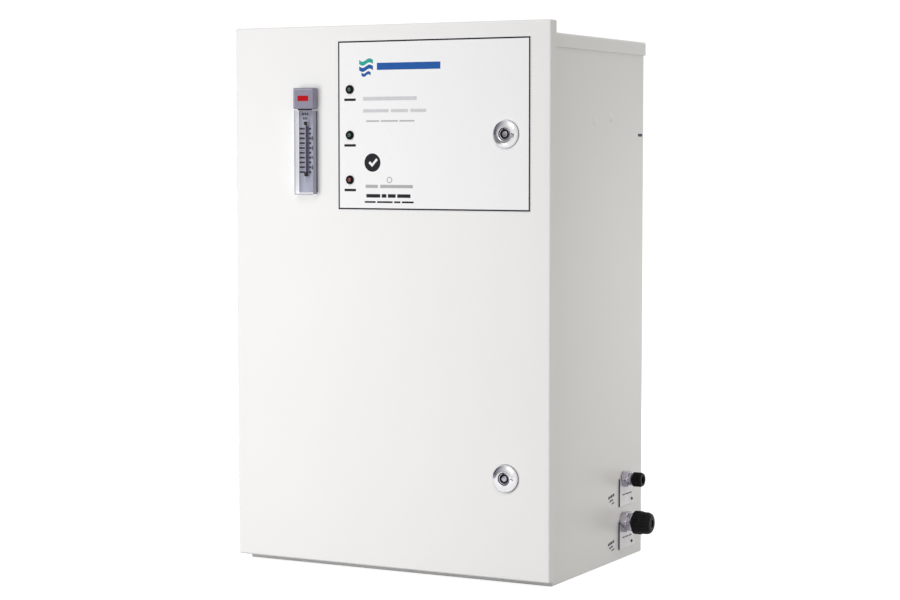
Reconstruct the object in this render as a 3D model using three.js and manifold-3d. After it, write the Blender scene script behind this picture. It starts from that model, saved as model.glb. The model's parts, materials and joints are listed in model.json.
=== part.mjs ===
// Wall-mounted pool ozone generator: a sheet-steel cabinet with a hinged, keyed door, a panel
// air flowmeter, three indicator lamps, two side fittings and the ozone train inside.
// Millimetres. +Z is up, the door faces -Y and +X is the side with the two fittings.
// The origin is the centre of the cabinet's base.
import * as THREE from "three";
import { mergeVertices } from "three/addons/utils/BufferGeometryUtils.js";
import Module from "manifold-3d";

const wasm = await Module();
wasm.setup();

// ---------------------------------------------------------------- driving dimensions
const SHEET = 1.5;
const GAP = 0.3;
const BODY = { width: 394, depth: 254, height: 608.2, flange: 24 };
const CAP = { top: 610, flange: 15.5 };
const DOOR = { width: 405, height: 616, depth: 16.5, foot: 7, lip: 24 };
const SEAL = { gap: 1.8, width: 7, outerX: 187, bottom: 12, top: 607 };
const HINGE = { x: -200, y: -126, bottom: 20, knuckle: 38, count: 15, outer: 2.4, bore: 1.5 };
const LABEL = { left: -64.2, right: 178.8, bottom: 414.5, top: 605.5, thick: 0.3 };
const LAMP = { x: -48.3, heights: [550.6, 499, 448.4], flange: 4.7, barrel: 3.7, lens: 2.7 };
const LOCK = { x: 149.1, upper: 499.4, lower: 120, face: 15.5, barrel: 9.5, plug: 6.7 };
const METER = { x: -104, width: 25.4, depth: 9.8, bottom: 430.8, top: 553, head: 25, bore: 2.6 };
const FLOAT = { radius: 2.1, height: 5, seat: 452 };
const SIDE_FITTING_Y = 71.5;
const OUTLET_Z = 95;
const GLAND_Z = 44;
const TAG = { left: 58.5, right: 102.5, above: 1, below: 32 };
const PLATE = { left: -175, right: 165, bottom: 30, top: 575, front: 96, thick: 2 };
const CELL = { xs: [-120, -45], y: 58, bottom: 250, top: 490, root: 24, tip: 30, fins: 20 };
const FAN = { y: 20, z: 190, size: 80, depth: 25, bore: 38, hub: 15, blades: 7 };
const TRANSFORMER = { xs: [-120, -45], width: 62, depth: 52, bottom: 56, height: 84 };
const HOSE_RADIUS = 4;

// planes that follow from them
const WALL_X = BODY.width / 2;
const FRONT_Y = -BODY.depth / 2;
const BACK_Y = BODY.depth / 2;
const DOOR_BACK = FRONT_Y - SEAL.gap;
const DOOR_FRONT = DOOR_BACK - DOOR.depth;
const DOOR_TOP = DOOR.foot + DOOR.height;
const DOOR_X = DOOR.width / 2;
const PANEL_BACK = DOOR_FRONT + SHEET;
const SEAT = PLATE.front - GAP;

// ---------------------------------------------------------------- shape helpers
function toManifold(geometry) {
  const bare = geometry.index ? geometry.toNonIndexed() : geometry.clone();
  bare.deleteAttribute("normal");
  bare.deleteAttribute("uv");
  const merged = mergeVertices(bare, 1e-4);
  const vertProperties = new Float32Array(merged.attributes.position.array);
  const triVerts = new Uint32Array(merged.index.array);
  return new wasm.Manifold(new wasm.Mesh({ numProp: 3, vertProperties, triVerts }));
}

function toGeometry(manifold) {
  const mesh = manifold.getMesh();
  const geometry = new THREE.BufferGeometry();
  geometry.setAttribute("position", new THREE.BufferAttribute(mesh.vertProperties, 3));
  geometry.setIndex(new THREE.BufferAttribute(mesh.triVerts, 1));
  return geometry;
}

function join(...shapes) {
  return toGeometry(shapes.map(toManifold).reduce((sum, next) => sum.add(next)));
}

function cut(base, ...tools) {
  return toGeometry(tools.map(toManifold).reduce((rest, tool) => rest.subtract(tool), toManifold(base)));
}

// a box between two values along each axis
function block([x0, x1], [y0, y1], [z0, z1]) {
  const box = new THREE.BoxGeometry(x1 - x0, y1 - y0, z1 - z0);
  return box.translate((x0 + x1) / 2, (y0 + y1) / 2, (z0 + z1) / 2);
}

// turns a shape made along +Z so that it runs along +X, +Y or +Z
function along(axis, geometry) {
  if (axis === "x") geometry.rotateY(Math.PI / 2);
  if (axis === "y") geometry.rotateX(-Math.PI / 2);
  return geometry;
}

// a rod from one value to another along an axis, its centre line at the other two coordinates
function rod(axis, radius, [from, to], centre, sides = 16) {
  const cylinder = new THREE.CylinderGeometry(radius, radius, to - from, sides);
  cylinder.rotateX(Math.PI / 2).translate(0, 0, (from + to) / 2);
  return along(axis, cylinder).translate(...centre);
}

// a turned shape: [radius, height] steps along an axis, starting and ending on that axis
function turned(axis, steps, centre, sides = 16) {
  const profile = steps.map(([radius, height]) => new THREE.Vector2(radius, height));
  const lathe = new THREE.LatheGeometry(profile, sides).rotateX(Math.PI / 2);
  return along(axis, lathe).translate(...centre);
}

// a round tube along a smooth curve through points
function tube(points, radius, steps, sides = 8) {
  const places = points.map((p) => new THREE.Vector3(...p));
  const curve = new THREE.CatmullRomCurve3(places, false, "centripetal");
  const corner = (i) => (2 * Math.PI * i) / sides;
  const ring = Array.from({ length: sides },
    (_, i) => new THREE.Vector2(radius * Math.cos(corner(i)), radius * Math.sin(corner(i))));
  const section = new THREE.Shape(ring);
  return new THREE.ExtrudeGeometry(section, { steps, extrudePath: curve, bevelEnabled: false });
}

// ---------------------------------------------------------------- materials
const finish = (color, roughness, metalness, extra = {}) =>
  new THREE.MeshStandardMaterial({ color, roughness, metalness, ...extra });
const PAINT = finish(0xeceae6, 0.45, 0);
const ZINC = finish(0xa9adb0, 0.4, 0.9);
const CHROME = finish(0xc8c9ce, 0.15, 1);
const ALUMINIUM = finish(0xb4b7ba, 0.35, 1);
const STEEL = finish(0x8f9296, 0.3, 1);
const BLACK = finish(0x141416, 0.5, 0);
const FOAM = finish(0x26262a, 0.9, 0);
const FILM = finish(0xf3f3f2, 0.3, 0);
const CLEAR = finish(0xdfe2ec, 0.08, 0, { transparent: true, opacity: 0.45 });
const GREY = finish(0x9a9bb0, 0.45, 0);
const SCALE = finish(0xa9aac0, 0.5, 0);
const GREEN = finish(0x1f5a3c, 0.25, 0);
const RED = finish(0x8a1f1c, 0.25, 0);
const BOARD = finish(0x1d5a35, 0.5, 0);
const POTTING = finish(0x22252b, 0.45, 0);
const PTFE = finish(0xe9e9e4, 0.4, 0);

const root = new THREE.Group();

function add(name, geometry, material) {
  const mesh = new THREE.Mesh(geometry, material);
  mesh.name = name;
  root.add(mesh);
}

// ---------------------------------------------------------------- cabinet shell
function cabinetBody() {
  const { height, flange } = BODY;
  const inner = WALL_X - SHEET;
  const shell = block([-WALL_X, WALL_X], [FRONT_Y, BACK_Y], [0, height]);
  const room = block([-inner, inner], [FRONT_Y + SHEET, BACK_Y - SHEET], [SHEET, height - SHEET]);
  const mouthX = WALL_X - flange;
  const mouth = block([-mouthX, mouthX], [FRONT_Y - 1, FRONT_Y + 5], [flange, height - flange]);
  const lid = block([-WALL_X + 20, WALL_X - 20], [FRONT_Y + 20, BACK_Y - 20], [height - 5, height + 1]);
  const wallHoles = [-160, 160].flatMap((x) =>
    [60, 548].map((z) => rod("y", 4, [BACK_Y - 5, BACK_Y + 5], [x, 0, z], 12)));
  const outletHole = rod("x", 6.5, [WALL_X - 5, WALL_X + 5], [0, SIDE_FITTING_Y, OUTLET_Z]);
  const glandHole = rod("x", 10.1, [WALL_X - 5, WALL_X + 5], [0, SIDE_FITTING_Y, GLAND_Z]);
  return cut(shell, room, mouth, lid, ...wallHoles, outletHole, glandHole);
}

function topCover() {
  const outerX = WALL_X + GAP + SHEET;
  const outerY = BACK_Y + GAP + SHEET;
  const front = FRONT_Y + GAP;
  const bottom = CAP.top - CAP.flange;
  const hood = block([-outerX, outerX], [front, outerY], [bottom, CAP.top]);
  const under = block([-WALL_X - GAP, WALL_X + GAP], [front - 1, BACK_Y + GAP],
    [bottom - 1, CAP.top - SHEET]);
  return cut(hood, under);
}

// one leaf of the continuous hinge: its plate, notched round the other leaf's knuckles
function hingeLeaf(firstKnuckle, plateAt) {
  const { x, y, bottom, knuckle, count, outer, bore } = HINGE;
  const length = knuckle * count;
  const spans = Array.from({ length: count }, (_, i) => [bottom + i * knuckle, bottom + (i + 1) * knuckle]);
  const own = spans.filter((_, i) => i % 2 === firstKnuckle);
  const plate = plateAt("far", [bottom + GAP, bottom + length - GAP]);
  const arms = own.map(([z0, z1]) => plateAt("near", [z0 + GAP, z1 - GAP]));
  const barrels = own.map(([z0, z1]) => rod("z", outer, [z0 + GAP, z1 - GAP], [x, y, 0], 10));
  const hole = rod("z", bore, [bottom - 1, bottom + length + 1], [x, y, 0], 8);
  return cut(join(plate, ...arms, ...barrels), hole);
}

function hingeBodyPlate(part, zs) {
  const xs = [-WALL_X - GAP - 1.2, -WALL_X - GAP];
  const clear = HINGE.y + HINGE.outer + GAP;
  return part === "far" ? block(xs, [clear, -104], zs) : block(xs, [HINGE.y, clear + 1], zs);
}

function hingeDoorPlate(part, zs) {
  const ys = [DOOR_BACK + GAP, FRONT_Y - GAP];
  const clear = HINGE.x + HINGE.outer + GAP;
  return part === "far" ? block([clear, -188], ys, zs) : block([HINGE.x, clear + 1], ys, zs);
}

function hingePin() {
  const { x, y, bottom, knuckle, count } = HINGE;
  return rod("z", 1.2, [bottom - 1, bottom + knuckle * count + 1], [x, y, 0], 8);
}

// ---------------------------------------------------------------- door
function doorPanel() {
  const { foot, lip } = DOOR;
  const tray = block([-DOOR_X, DOOR_X], [DOOR_FRONT, DOOR_BACK], [foot, DOOR_TOP]);
  const inner = DOOR_X - SHEET;
  const hollow = block([-inner, inner], [PANEL_BACK, DOOR_BACK - SHEET], [foot + SHEET, DOOR_TOP - SHEET]);
  const mouthX = DOOR_X - lip;
  const mouth = block([-mouthX, mouthX], [DOOR_BACK - 5, DOOR_BACK + 1], [foot + lip, DOOR_TOP - lip]);
  const through = [DOOR_FRONT - 1, PANEL_BACK + 1];
  const lampHoles = LAMP.heights.map((z) => rod("y", LAMP.barrel + GAP, through, [LAMP.x, 0, z], 12));
  const lockHoles = [LOCK.upper, LOCK.lower].map((z) => rod("y", LOCK.barrel + GAP, through, [LOCK.x, 0, z]));
  const portHoles = METER_PORTS.map((z) => rod("y", 5.5, through, [METER.x, 0, z], 12));
  return cut(tray, hollow, mouth, ...lampHoles, ...lockHoles, ...portHoles);
}

function doorGasket() {
  const { width, outerX, bottom, top } = SEAL;
  const ys = [DOOR_BACK + GAP, FRONT_Y - GAP];
  const strip = block([-outerX, outerX], ys, [bottom, top]);
  const middle = block([-outerX + width, outerX - width], [ys[0] - 1, ys[1] + 1],
    [bottom + width, top - width]);
  return cut(strip, middle);
}

function frontLabel() {
  const { left, right, bottom, top, thick } = LABEL;
  const back = DOOR_FRONT - GAP;
  const film = block([left, right], [back - thick, back], [bottom, top]);
  const reach = [back - 2, back + 2];
  const lampHoles = LAMP.heights.map((z) => rod("y", LAMP.barrel + GAP, reach, [LAMP.x, 0, z], 12));
  const lockHole = rod("y", LOCK.barrel + GAP, reach, [LOCK.x, 0, LOCK.upper]);
  return cut(film, ...lampHoles, lockHole);
}

// lamp holder: a flange in front of the label and a barrel through the door
function lampBezel(z) {
  const face = DOOR_FRONT - 2 * GAP - LABEL.thick;
  const steps = [[LAMP.lens + GAP, -2], [LAMP.flange - 0.6, -2], [LAMP.flange, -1.4], [LAMP.flange, 0],
    [LAMP.barrel, 0], [LAMP.barrel, 9], [LAMP.lens + GAP, 9], [LAMP.lens + GAP, -2]];
  return turned("y", steps, [LAMP.x, face, z], 12);
}

function lampLens(z) {
  const face = DOOR_FRONT - 2 * GAP - LABEL.thick - 1.2;
  const dome = Array.from({ length: 6 }, (_, i) => {
    const turn = (Math.PI / 2) * (i / 5);
    return [LAMP.lens * Math.sin(turn), -LAMP.lens * 0.9 * Math.cos(turn)];
  });
  return turned("y", [...dome, [LAMP.lens, 8], [0, 8]], [LAMP.x, face, z], 12);
}

// cam lock: domed escutcheon and barrel, bored for the plug
function lockHousing(z) {
  const back = DOOR_FRONT - 2 * GAP - LABEL.thick;
  const bore = LOCK.plug + GAP;
  const steps = [[bore, -5.2], [11.5, -4.6], [14.3, -3], [LOCK.face, -1.2], [LOCK.face, 0],
    [LOCK.barrel, 0], [LOCK.barrel, 23], [bore, 23], [bore, -5.2]];
  return turned("y", steps, [LOCK.x, back, z], 20);
}

function lockNut(z) {
  const ring = rod("y", 14, [PANEL_BACK + GAP, PANEL_BACK + 5], [LOCK.x, 0, z], 6);
  return cut(ring, rod("y", LOCK.barrel + GAP, [PANEL_BACK - 5, PANEL_BACK + 9], [LOCK.x, 0, z]));
}

// keyed plug: a round keyway with a centre post, and a tail that carries the cam
function lockPlug(z) {
  const front = DOOR_FRONT - 5.2;
  const body = rod("y", LOCK.plug, [front, LOCK_TAIL], [LOCK.x, 0, z]);
  const keyway = cut(rod("y", 5.4, [front - 1, front + 7], [LOCK.x, 0, z], 12),
    rod("y", 3.4, [front - 2, front + 8], [LOCK.x, 0, z], 12));
  return cut(body, keyway);
}

// cam hanging straight down when unlocked; turned a quarter it passes behind the cabinet flange
function lockCam(z) {
  const ys = [LOCK_TAIL + GAP, LOCK_TAIL + GAP + 3];
  const arm = block([LOCK.x - 8, LOCK.x + 8], ys, [z - 35, z]);
  return join(arm, rod("y", 8, ys, [LOCK.x, 0, z], 12));
}

// ---------------------------------------------------------------- flowmeter on the door
const METER_BACK = DOOR_FRONT - GAP - 0.6 - GAP;
const METER_FRONT = METER_BACK - METER.depth;
const METER_PORTS = [METER.top - METER.head / 2, METER.bottom + 10];
const METER_NECK = METER.top - METER.head;
const PORT_END = DOOR_FRONT + 22;
const LOCK_TAIL = DOOR_FRONT + 23;

function flowmeterBody() {
  const half = METER.width / 2;
  const column = block([METER.x - half, METER.x + half], [METER_FRONT, METER_BACK],
    [METER.bottom, METER_NECK - GAP]);
  const port = rod("y", 5, [METER_BACK - 2, PORT_END], [METER.x, 0, METER_PORTS[1]], 12);
  const bore = rod("z", METER.bore, [METER.bottom + 14, METER.top], [METER.x, METER_FLOAT_Y, 0], 10);
  return cut(join(column, port), bore);
}

const METER_FLOAT_Y = (METER_FRONT + METER_BACK) / 2;

function flowmeterHead() {
  const half = METER.width / 2 + 0.6;
  const cap = block([METER.x - half, METER.x + half], [METER_FRONT - 1, METER_BACK], [METER_NECK, METER.top]);
  return join(cap, rod("y", 5, [METER_BACK - 2, PORT_END], [METER.x, 0, METER_PORTS[0]], 12));
}

function flowmeterScale() {
  const back = DOOR_FRONT - GAP;
  const plate = block([METER.x - 10.5, METER.x + 11.5], [back - 0.6, back],
    [METER.bottom + 3, METER_NECK - 1]);
  return cut(plate, rod("y", 5.5, [back - 3, back + 3], [METER.x, 0, METER_PORTS[1]], 12));
}

function flowmeterFloat() {
  const { radius, height, seat } = FLOAT;
  const steps = [[0, 0], [radius * 0.5, 0], [radius, 1.5], [radius, height], [0, height]];
  return turned("z", steps, [METER.x, METER_FLOAT_Y, seat], 8);
}

// elbow on a rear port with its barb pointing down
function portElbow(z) {
  const ys = [PORT_END + GAP, PORT_END + 13];
  const y = (ys[0] + ys[1]) / 2;
  const cube = block([METER.x - 7, METER.x + 7], ys, [z - 7, z + 7]);
  return join(cube, rod("z", 2.6, [z - 19, z], [METER.x, y, 0], 8));
}

const ELBOW_Y = PORT_END + 6.65;

// air filter on the lower port, with an elbow of its own
function intakeFilter() {
  const steps = [[0, -46], [9, -46], [11, -43], [11, -9], [5, -5], [5, 8], [0, 8]];
  const drum = turned("z", steps, [METER.x, ELBOW_Y, METER_PORTS[1] - 12]);
  return join(portElbow(METER_PORTS[1]), drum);
}

// ---------------------------------------------------------------- side fittings
// tag slotted from its top edge, so that it slips on behind the fitting's hexagon
function tagPlate(fittingZ, slotRadius) {
  const xs = [WALL_X + GAP, WALL_X + GAP + 1];
  const plate = block(xs, [TAG.left, TAG.right], [fittingZ - TAG.below, fittingZ + TAG.above]);
  const reach = [WALL_X - 3, WALL_X + 5];
  const end = rod("x", slotRadius, reach, [0, SIDE_FITTING_Y, fittingZ]);
  const ys = [SIDE_FITTING_Y - slotRadius, SIDE_FITTING_Y + slotRadius];
  return cut(plate, end, block(reach, ys, [fittingZ, fittingZ + 10]));
}

const SEAT_X = WALL_X + 2 * GAP + 1;
const STEM = 16;
const HEX = 7;
const OUTLET_NECK = 11.8;
const GLAND_NECK = 13.4;

function outletBody() {
  const hex = rod("x", 10, [SEAT_X, SEAT_X + HEX], [0, SIDE_FITTING_Y, OUTLET_Z], 6);
  const stem = rod("x", 6, [SEAT_X - STEM, SEAT_X + OUTLET_NECK], [0, SIDE_FITTING_Y, OUTLET_Z]);
  return join(hex, stem);
}

function outletNut() {
  const steps = [[3.4, 0], [8.5, 0], [8.5, 10], [7.3, 11.4], [3.4, 11.4], [3.4, 0]];
  return turned("x", steps, [SEAT_X + OUTLET_NECK + GAP, SIDE_FITTING_Y, OUTLET_Z]);
}

function insideNut(z, radius, bore) {
  const xs = [WALL_X - SHEET - GAP - 5, WALL_X - SHEET - GAP];
  return cut(rod("x", radius, xs, [0, SIDE_FITTING_Y, z], 6),
    rod("x", bore, [xs[0] - 2, xs[1] + 2], [0, SIDE_FITTING_Y, z]));
}

function glandBody() {
  const hex = rod("x", 13.4, [SEAT_X, SEAT_X + HEX], [0, SIDE_FITTING_Y, GLAND_Z], 6);
  const stem = rod("x", 9.7, [SEAT_X - 14, SEAT_X + GLAND_NECK], [0, SIDE_FITTING_Y, GLAND_Z]);
  return cut(join(hex, stem), rod("x", 4.5, [SEAT_X - 20, SEAT_X + 20], [0, SIDE_FITTING_Y, GLAND_Z]));
}

function glandNut() {
  const steps = [[4.5, 0], [13.8, 0], [13.8, 9.5], [12.9, 10.5], [12.9, 17], [11.4, 20], [8, 21.5],
    [4.5, 21.5], [4.5, 0]];
  return turned("x", steps, [SEAT_X + GLAND_NECK + GAP, SIDE_FITTING_Y, GLAND_Z], 18);
}

// ---------------------------------------------------------------- ozone train inside
function equipmentPlate() {
  const { left, right, bottom, top, front, thick } = PLATE;
  const zs = [bottom, top];
  const rear = BACK_Y - SHEET - GAP;
  const face = block([left, right], [front, front + thick], zs);
  const sides = [[left, left + thick], [right - thick, right]].map((xs) => block(xs, [front, rear], zs));
  const feet = [[left, left + 18], [right - 18, right]].map((xs) => block(xs, [rear - thick, rear], zs));
  return join(face, ...sides, ...feet);
}

// finned aluminium tube: flat-ended fins round a core
function ozoneCell(x) {
  const { y, bottom, top, root: rootRadius, tip, fins } = CELL;
  const pitch = (2 * Math.PI) / fins;
  const corners = [[rootRadius, 0], [rootRadius, 0.55], [tip, 0.62], [tip, 0.93]];
  const outline = Array.from({ length: fins }, (_, fin) => corners.map(([radius, share]) => {
    const turn = (fin + share) * pitch;
    return new THREE.Vector2(radius * Math.cos(turn), radius * Math.sin(turn));
  })).flat();
  const shape = new THREE.Shape(outline);
  const prism = new THREE.ExtrudeGeometry(shape, { depth: top - bottom, bevelEnabled: false });
  return prism.translate(x, y, bottom);
}

// end cap with a hose barb; side is +1 at the top of the cell and -1 at its bottom
function cellCap(x, side) {
  const z = side > 0 ? CELL.top + GAP : CELL.bottom - GAP;
  const steps = [[0, 0], [27, 0], [27, 11], [24, 14], [7, 15], [4, 17], [2.6, 17], [2.6, 30], [0, 30]];
  const cap = turned("z", steps, [0, 0, 0]);
  if (side < 0) cap.rotateX(Math.PI);
  return cap.translate(x, CELL.y, z);
}

function cellSaddle(x, z) {
  const foot = block([x - 34, x + 34], [SEAT - 4, SEAT], [z - 9, z + 9]);
  const web = block([x - 20, x + 20], [CELL.y, SEAT], [z - 9, z + 9]);
  return cut(join(foot, web), rod("z", CELL.tip + 1, [z - 12, z + 12], [x, CELL.y, 0], 20));
}

function transformer(x) {
  const { width, depth, bottom, height } = TRANSFORMER;
  const half = width / 2;
  const can = block([x - half, x + half], [SEAT - depth, SEAT], [bottom, bottom + height]);
  const feet = block([x - half, x + half], [SEAT - 3, SEAT], [bottom - 10, bottom + height + 10]);
  const bushing = turned("y", [[0, -14], [4, -14], [4, -7], [8, -7], [8, 2], [0, 2]],
    [x, SEAT - depth, bottom + height - 22], 12);
  return join(can, feet, bushing);
}

const BOARD_X = [12, 148];
const BOARD_Z = [330, 505];
const BOARD_Y = SEAT - 13;

function controlBoard() {
  const card = block(BOARD_X, [BOARD_Y - 1.6, BOARD_Y], BOARD_Z);
  const posts = [BOARD_X[0] + 7, BOARD_X[1] - 7].flatMap((x) =>
    [BOARD_Z[0] + 7, BOARD_Z[1] - 7].map((z) => rod("y", 3.2, [BOARD_Y - 4, SEAT], [x, 0, z], 6)));
  const front = BOARD_Y - 1;
  const relays = [0, 1, 2].map((i) => block([24 + i * 24, 43 + i * 24], [front - 17, front], [468, 494]));
  const chips = [0, 1].map((i) => block([60 + i * 34, 84 + i * 34], [front - 5, front], [420, 430 + i * 14]));
  const sink = block([106, 138], [front - 28, front], [350, 392]);
  const drums = [0, 1, 2].map((i) => rod("y", 8, [front - 24, front], [34 + i * 20, 0, 378], 12));
  const header = block([24, 92], [front - 11, front], [336, 347]);
  return join(card, ...posts, ...relays, ...chips, sink, ...drums, header);
}

function terminalBlock() {
  const ways = 8;
  const pitch = 13;
  const left = 24;
  const base = block([left, left + ways * pitch + 3], [SEAT - 12, SEAT], [268, 296]);
  const walls = Array.from({ length: ways + 1 }, (_, i) =>
    block([left + i * pitch, left + i * pitch + 3], [SEAT - 22, SEAT], [268, 296]));
  return join(base, ...walls);
}

const SWITCH_Z = 178;

function vacuumSwitch() {
  const x = CELL.xs[0];
  const drum = turned("y", [[0, -26], [15, -26], [18, -23], [18, -15], [13, -13], [13, 0], [0, 0]],
    [x, SEAT, SWITCH_Z]);
  const manifold = block([x - 8, x + 8], [CELL.y - 8, CELL.y + 14], [SWITCH_Z - 8, SWITCH_Z + 12]);
  const outletBarb = rod("z", 2.6, [SWITCH_Z, SWITCH_Z + 22], [x, CELL.y, 0], 8);
  const inletBarb = rod("y", 2.6, [CELL.y - 22, CELL.y], [x, 0, SWITCH_Z], 8);
  return join(drum, manifold, outletBarb, inletBarb);
}

const VALVE = { length: 44 };
const VALVE_X = SEAT_X - STEM - GAP - VALVE.length;

function checkValve() {
  const steps = [[0, 0], [2.6, 0], [2.6, 13], [8, 15], [9, 17], [9, 35], [8, 37], [8, VALVE.length],
    [0, VALVE.length]];
  return turned("x", steps, [VALVE_X, SIDE_FITTING_Y, OUTLET_Z]);
}

// straight hose pushed over the two barbs that face each other
function couplingHose() {
  const zs = [SWITCH_Z + 13, CELL.bottom - GAP - 18];
  const centre = [CELL.xs[0], CELL.y, 0];
  return cut(rod("z", HOSE_RADIUS, zs, centre, 10), rod("z", 2.9, [zs[0] - 1, zs[1] + 1], centre, 10));
}

function fanFrame() {
  const { y, z, size, depth, bore, hub } = FAN;
  const half = size / 2;
  const left = -WALL_X + SHEET + GAP;
  const frame = block([left, left + depth], [y - half, y + half], [z - half, z + half]);
  const throat = rod("x", bore, [left - 1, left + depth + 1], [0, y, z], 28);
  const motor = rod("x", hub, [left, left + 4], [0, y, z]);
  const arms = [0, 1].map((i) => new THREE.BoxGeometry(3, 4, bore * 2 + 2)
    .rotateX((i * Math.PI) / 2 + Math.PI / 4).translate(left + 1.5, y, z));
  return join(cut(frame, throat), motor, ...arms);
}

function fanRotor() {
  const { y, z, bore, hub, blades } = FAN;
  const left = -WALL_X + SHEET + GAP + 4 + GAP;
  const core = rod("x", hub, [left, left + 17], [0, y, z]);
  const reach = bore - 1.5 - hub / 2;
  const vanes = Array.from({ length: blades }, (_, i) => new THREE.BoxGeometry(1.6, 20, reach)
    .rotateZ(0.75).translate(left + 9, 0, reach / 2 + hub / 2)
    .rotateX((2 * Math.PI * i) / blades).translate(0, y, z));
  return join(core, ...vanes);
}

// ---------------------------------------------------------------- hoses and leads
const LOOP_Z = CELL.top + GAP + 30 + GAP;
const LINK = { rise: 6, arc: 37.5 };

function cellLink() {
  const [left, right] = CELL.xs;
  const arch = Array.from({ length: 9 }, (_, i) => {
    const turn = Math.PI * (1 - i / 8);
    const rise = LINK.rise + LINK.arc * Math.sin(turn);
    return [(left + right) / 2 + LINK.arc * Math.cos(turn), CELL.y, LOOP_Z + rise];
  });
  return tube([[left, CELL.y, LOOP_Z], ...arch, [right, CELL.y, LOOP_Z]], HOSE_RADIUS, 18);
}

function ozoneHose() {
  const z = CELL.bottom - GAP - 30 - GAP;
  const x = CELL.xs[1];
  const route = [[x, CELL.y, z], [x, CELL.y, z - 12], [x + 16, CELL.y, z - 34], [x + 60, CELL.y, z - 42],
    [x + 104, CELL.y + 6, z - 62], [x + 124, CELL.y + 16, z - 100], [x + 148, SIDE_FITTING_Y, OUTLET_Z + 6],
    [VALVE_X - 12, SIDE_FITTING_Y, OUTLET_Z], [VALVE_X - GAP, SIDE_FITTING_Y, OUTLET_Z]];
  return tube(route, HOSE_RADIUS, 18);
}

// air hose: down from the flowmeter, along the hinge side, then back to the vacuum switch
function doorHose() {
  const z = METER_PORTS[0] - 19 - GAP;
  const route = [[METER.x, ELBOW_Y, z], [METER.x, ELBOW_Y, z - 10], [METER.x - 14, ELBOW_Y, z - 34],
    [METER.x - 34, ELBOW_Y, z - 58], [-155, ELBOW_Y, z - 100], [-155, ELBOW_Y, z - 180],
    [-155, ELBOW_Y, 235], [-152, -92, 198], [-140, -50, 184], [-122, 0, SWITCH_Z],
    [CELL.xs[0], 20, SWITCH_Z], [CELL.xs[0], CELL.y - 22 - GAP, SWITCH_Z]];
  return tube(route, HOSE_RADIUS, 30);
}

// lamp harness: from behind the lamps, along the hinge side, then back to the control board
function lampHarness() {
  const route = [[LAMP.x, -129, 520], [LAMP.x - 4, -127, 470], [LAMP.x - 14, -124, 415], [-80, -121, 376],
    [-106, -119, 360], [-130, -118, 350], [-143, -117, 325], [-143, -117, 260], [-141, -100, 222],
    [-110, -40, 212], [-40, 20, 222], [0, 46, 260], [14, 58, 310], [22, 62, 326], [34, 66, 330]];
  return tube(route, 3, 36);
}

// ---------------------------------------------------------------- assembly
add("cabinet_body", cabinetBody(), PAINT);
add("top_cover", topCover(), PAINT);
add("hinge_body_leaf", hingeLeaf(0, hingeBodyPlate), STEEL);
add("hinge_door_leaf", hingeLeaf(1, hingeDoorPlate), STEEL);
add("hinge_pin", hingePin(), STEEL);
add("door_panel", doorPanel(), PAINT);
add("door_gasket", doorGasket(), FOAM);
add("front_label", frontLabel(), FILM);

["power", "ozone", "vacuum"].forEach((name, i) => {
  add(`lamp_${name}_bezel`, lampBezel(LAMP.heights[i]), BLACK);
  add(`lamp_${name}_lens`, lampLens(LAMP.heights[i]), name === "vacuum" ? RED : GREEN);
});

["upper", "lower"].forEach((name) => {
  add(`lock_${name}_housing`, lockHousing(LOCK[name]), CHROME);
  add(`lock_${name}_nut`, lockNut(LOCK[name]), ZINC);
  add(`lock_${name}_plug`, lockPlug(LOCK[name]), CHROME);
  add(`lock_${name}_cam`, lockCam(LOCK[name]), ZINC);
});

add("flowmeter_body", flowmeterBody(), CLEAR);
add("flowmeter_head", flowmeterHead(), GREY);
add("flowmeter_scale", flowmeterScale(), SCALE);
add("flowmeter_float", flowmeterFloat(), BLACK);
add("flowmeter_elbow", portElbow(METER_PORTS[0]), BLACK);
add("intake_filter", intakeFilter(), PTFE);

add("outlet_tag", tagPlate(OUTLET_Z, 6.5), ZINC);
add("outlet_body", outletBody(), STEEL);
add("outlet_nut", outletNut(), BLACK);
add("outlet_locknut", insideNut(OUTLET_Z, 10, 6.3), ZINC);
add("gland_tag", tagPlate(GLAND_Z, 10.1), ZINC);
add("gland_body", glandBody(), STEEL);
add("gland_nut", glandNut(), BLACK);
add("gland_locknut", insideNut(GLAND_Z, 14, 10), BLACK);

add("equipment_plate", equipmentPlate(), ZINC);
CELL.xs.forEach((x, i) => {
  const side = ["left", "right"][i];
  add(`ozone_cell_${side}`, ozoneCell(x), ALUMINIUM);
  add(`ozone_cell_${side}_cap_top`, cellCap(x, 1), POTTING);
  add(`ozone_cell_${side}_cap_bottom`, cellCap(x, -1), POTTING);
  add(`ozone_cell_${side}_saddle_top`, cellSaddle(x, CELL.top - 45), PTFE);
  add(`ozone_cell_${side}_saddle_bottom`, cellSaddle(x, CELL.bottom + 45), PTFE);
  add(`transformer_${side}`, transformer(TRANSFORMER.xs[i]), POTTING);
});
add("control_board", controlBoard(), BOARD);
add("terminal_block", terminalBlock(), BLACK);
add("vacuum_switch", vacuumSwitch(), GREY);
add("check_valve", checkValve(), PTFE);
add("fan_frame", fanFrame(), BLACK);
add("fan_rotor", fanRotor(), BLACK);
add("coupling_hose", couplingHose(), PTFE);
add("cell_link_hose", cellLink(), PTFE);
add("ozone_hose", ozoneHose(), PTFE);
add("door_hose", doorHose(), PTFE);
add("lamp_harness", lampHarness(), BLACK);

export default root;
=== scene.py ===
import json
import math

import bmesh
import bpy
from mathutils import Matrix, Vector

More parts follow.
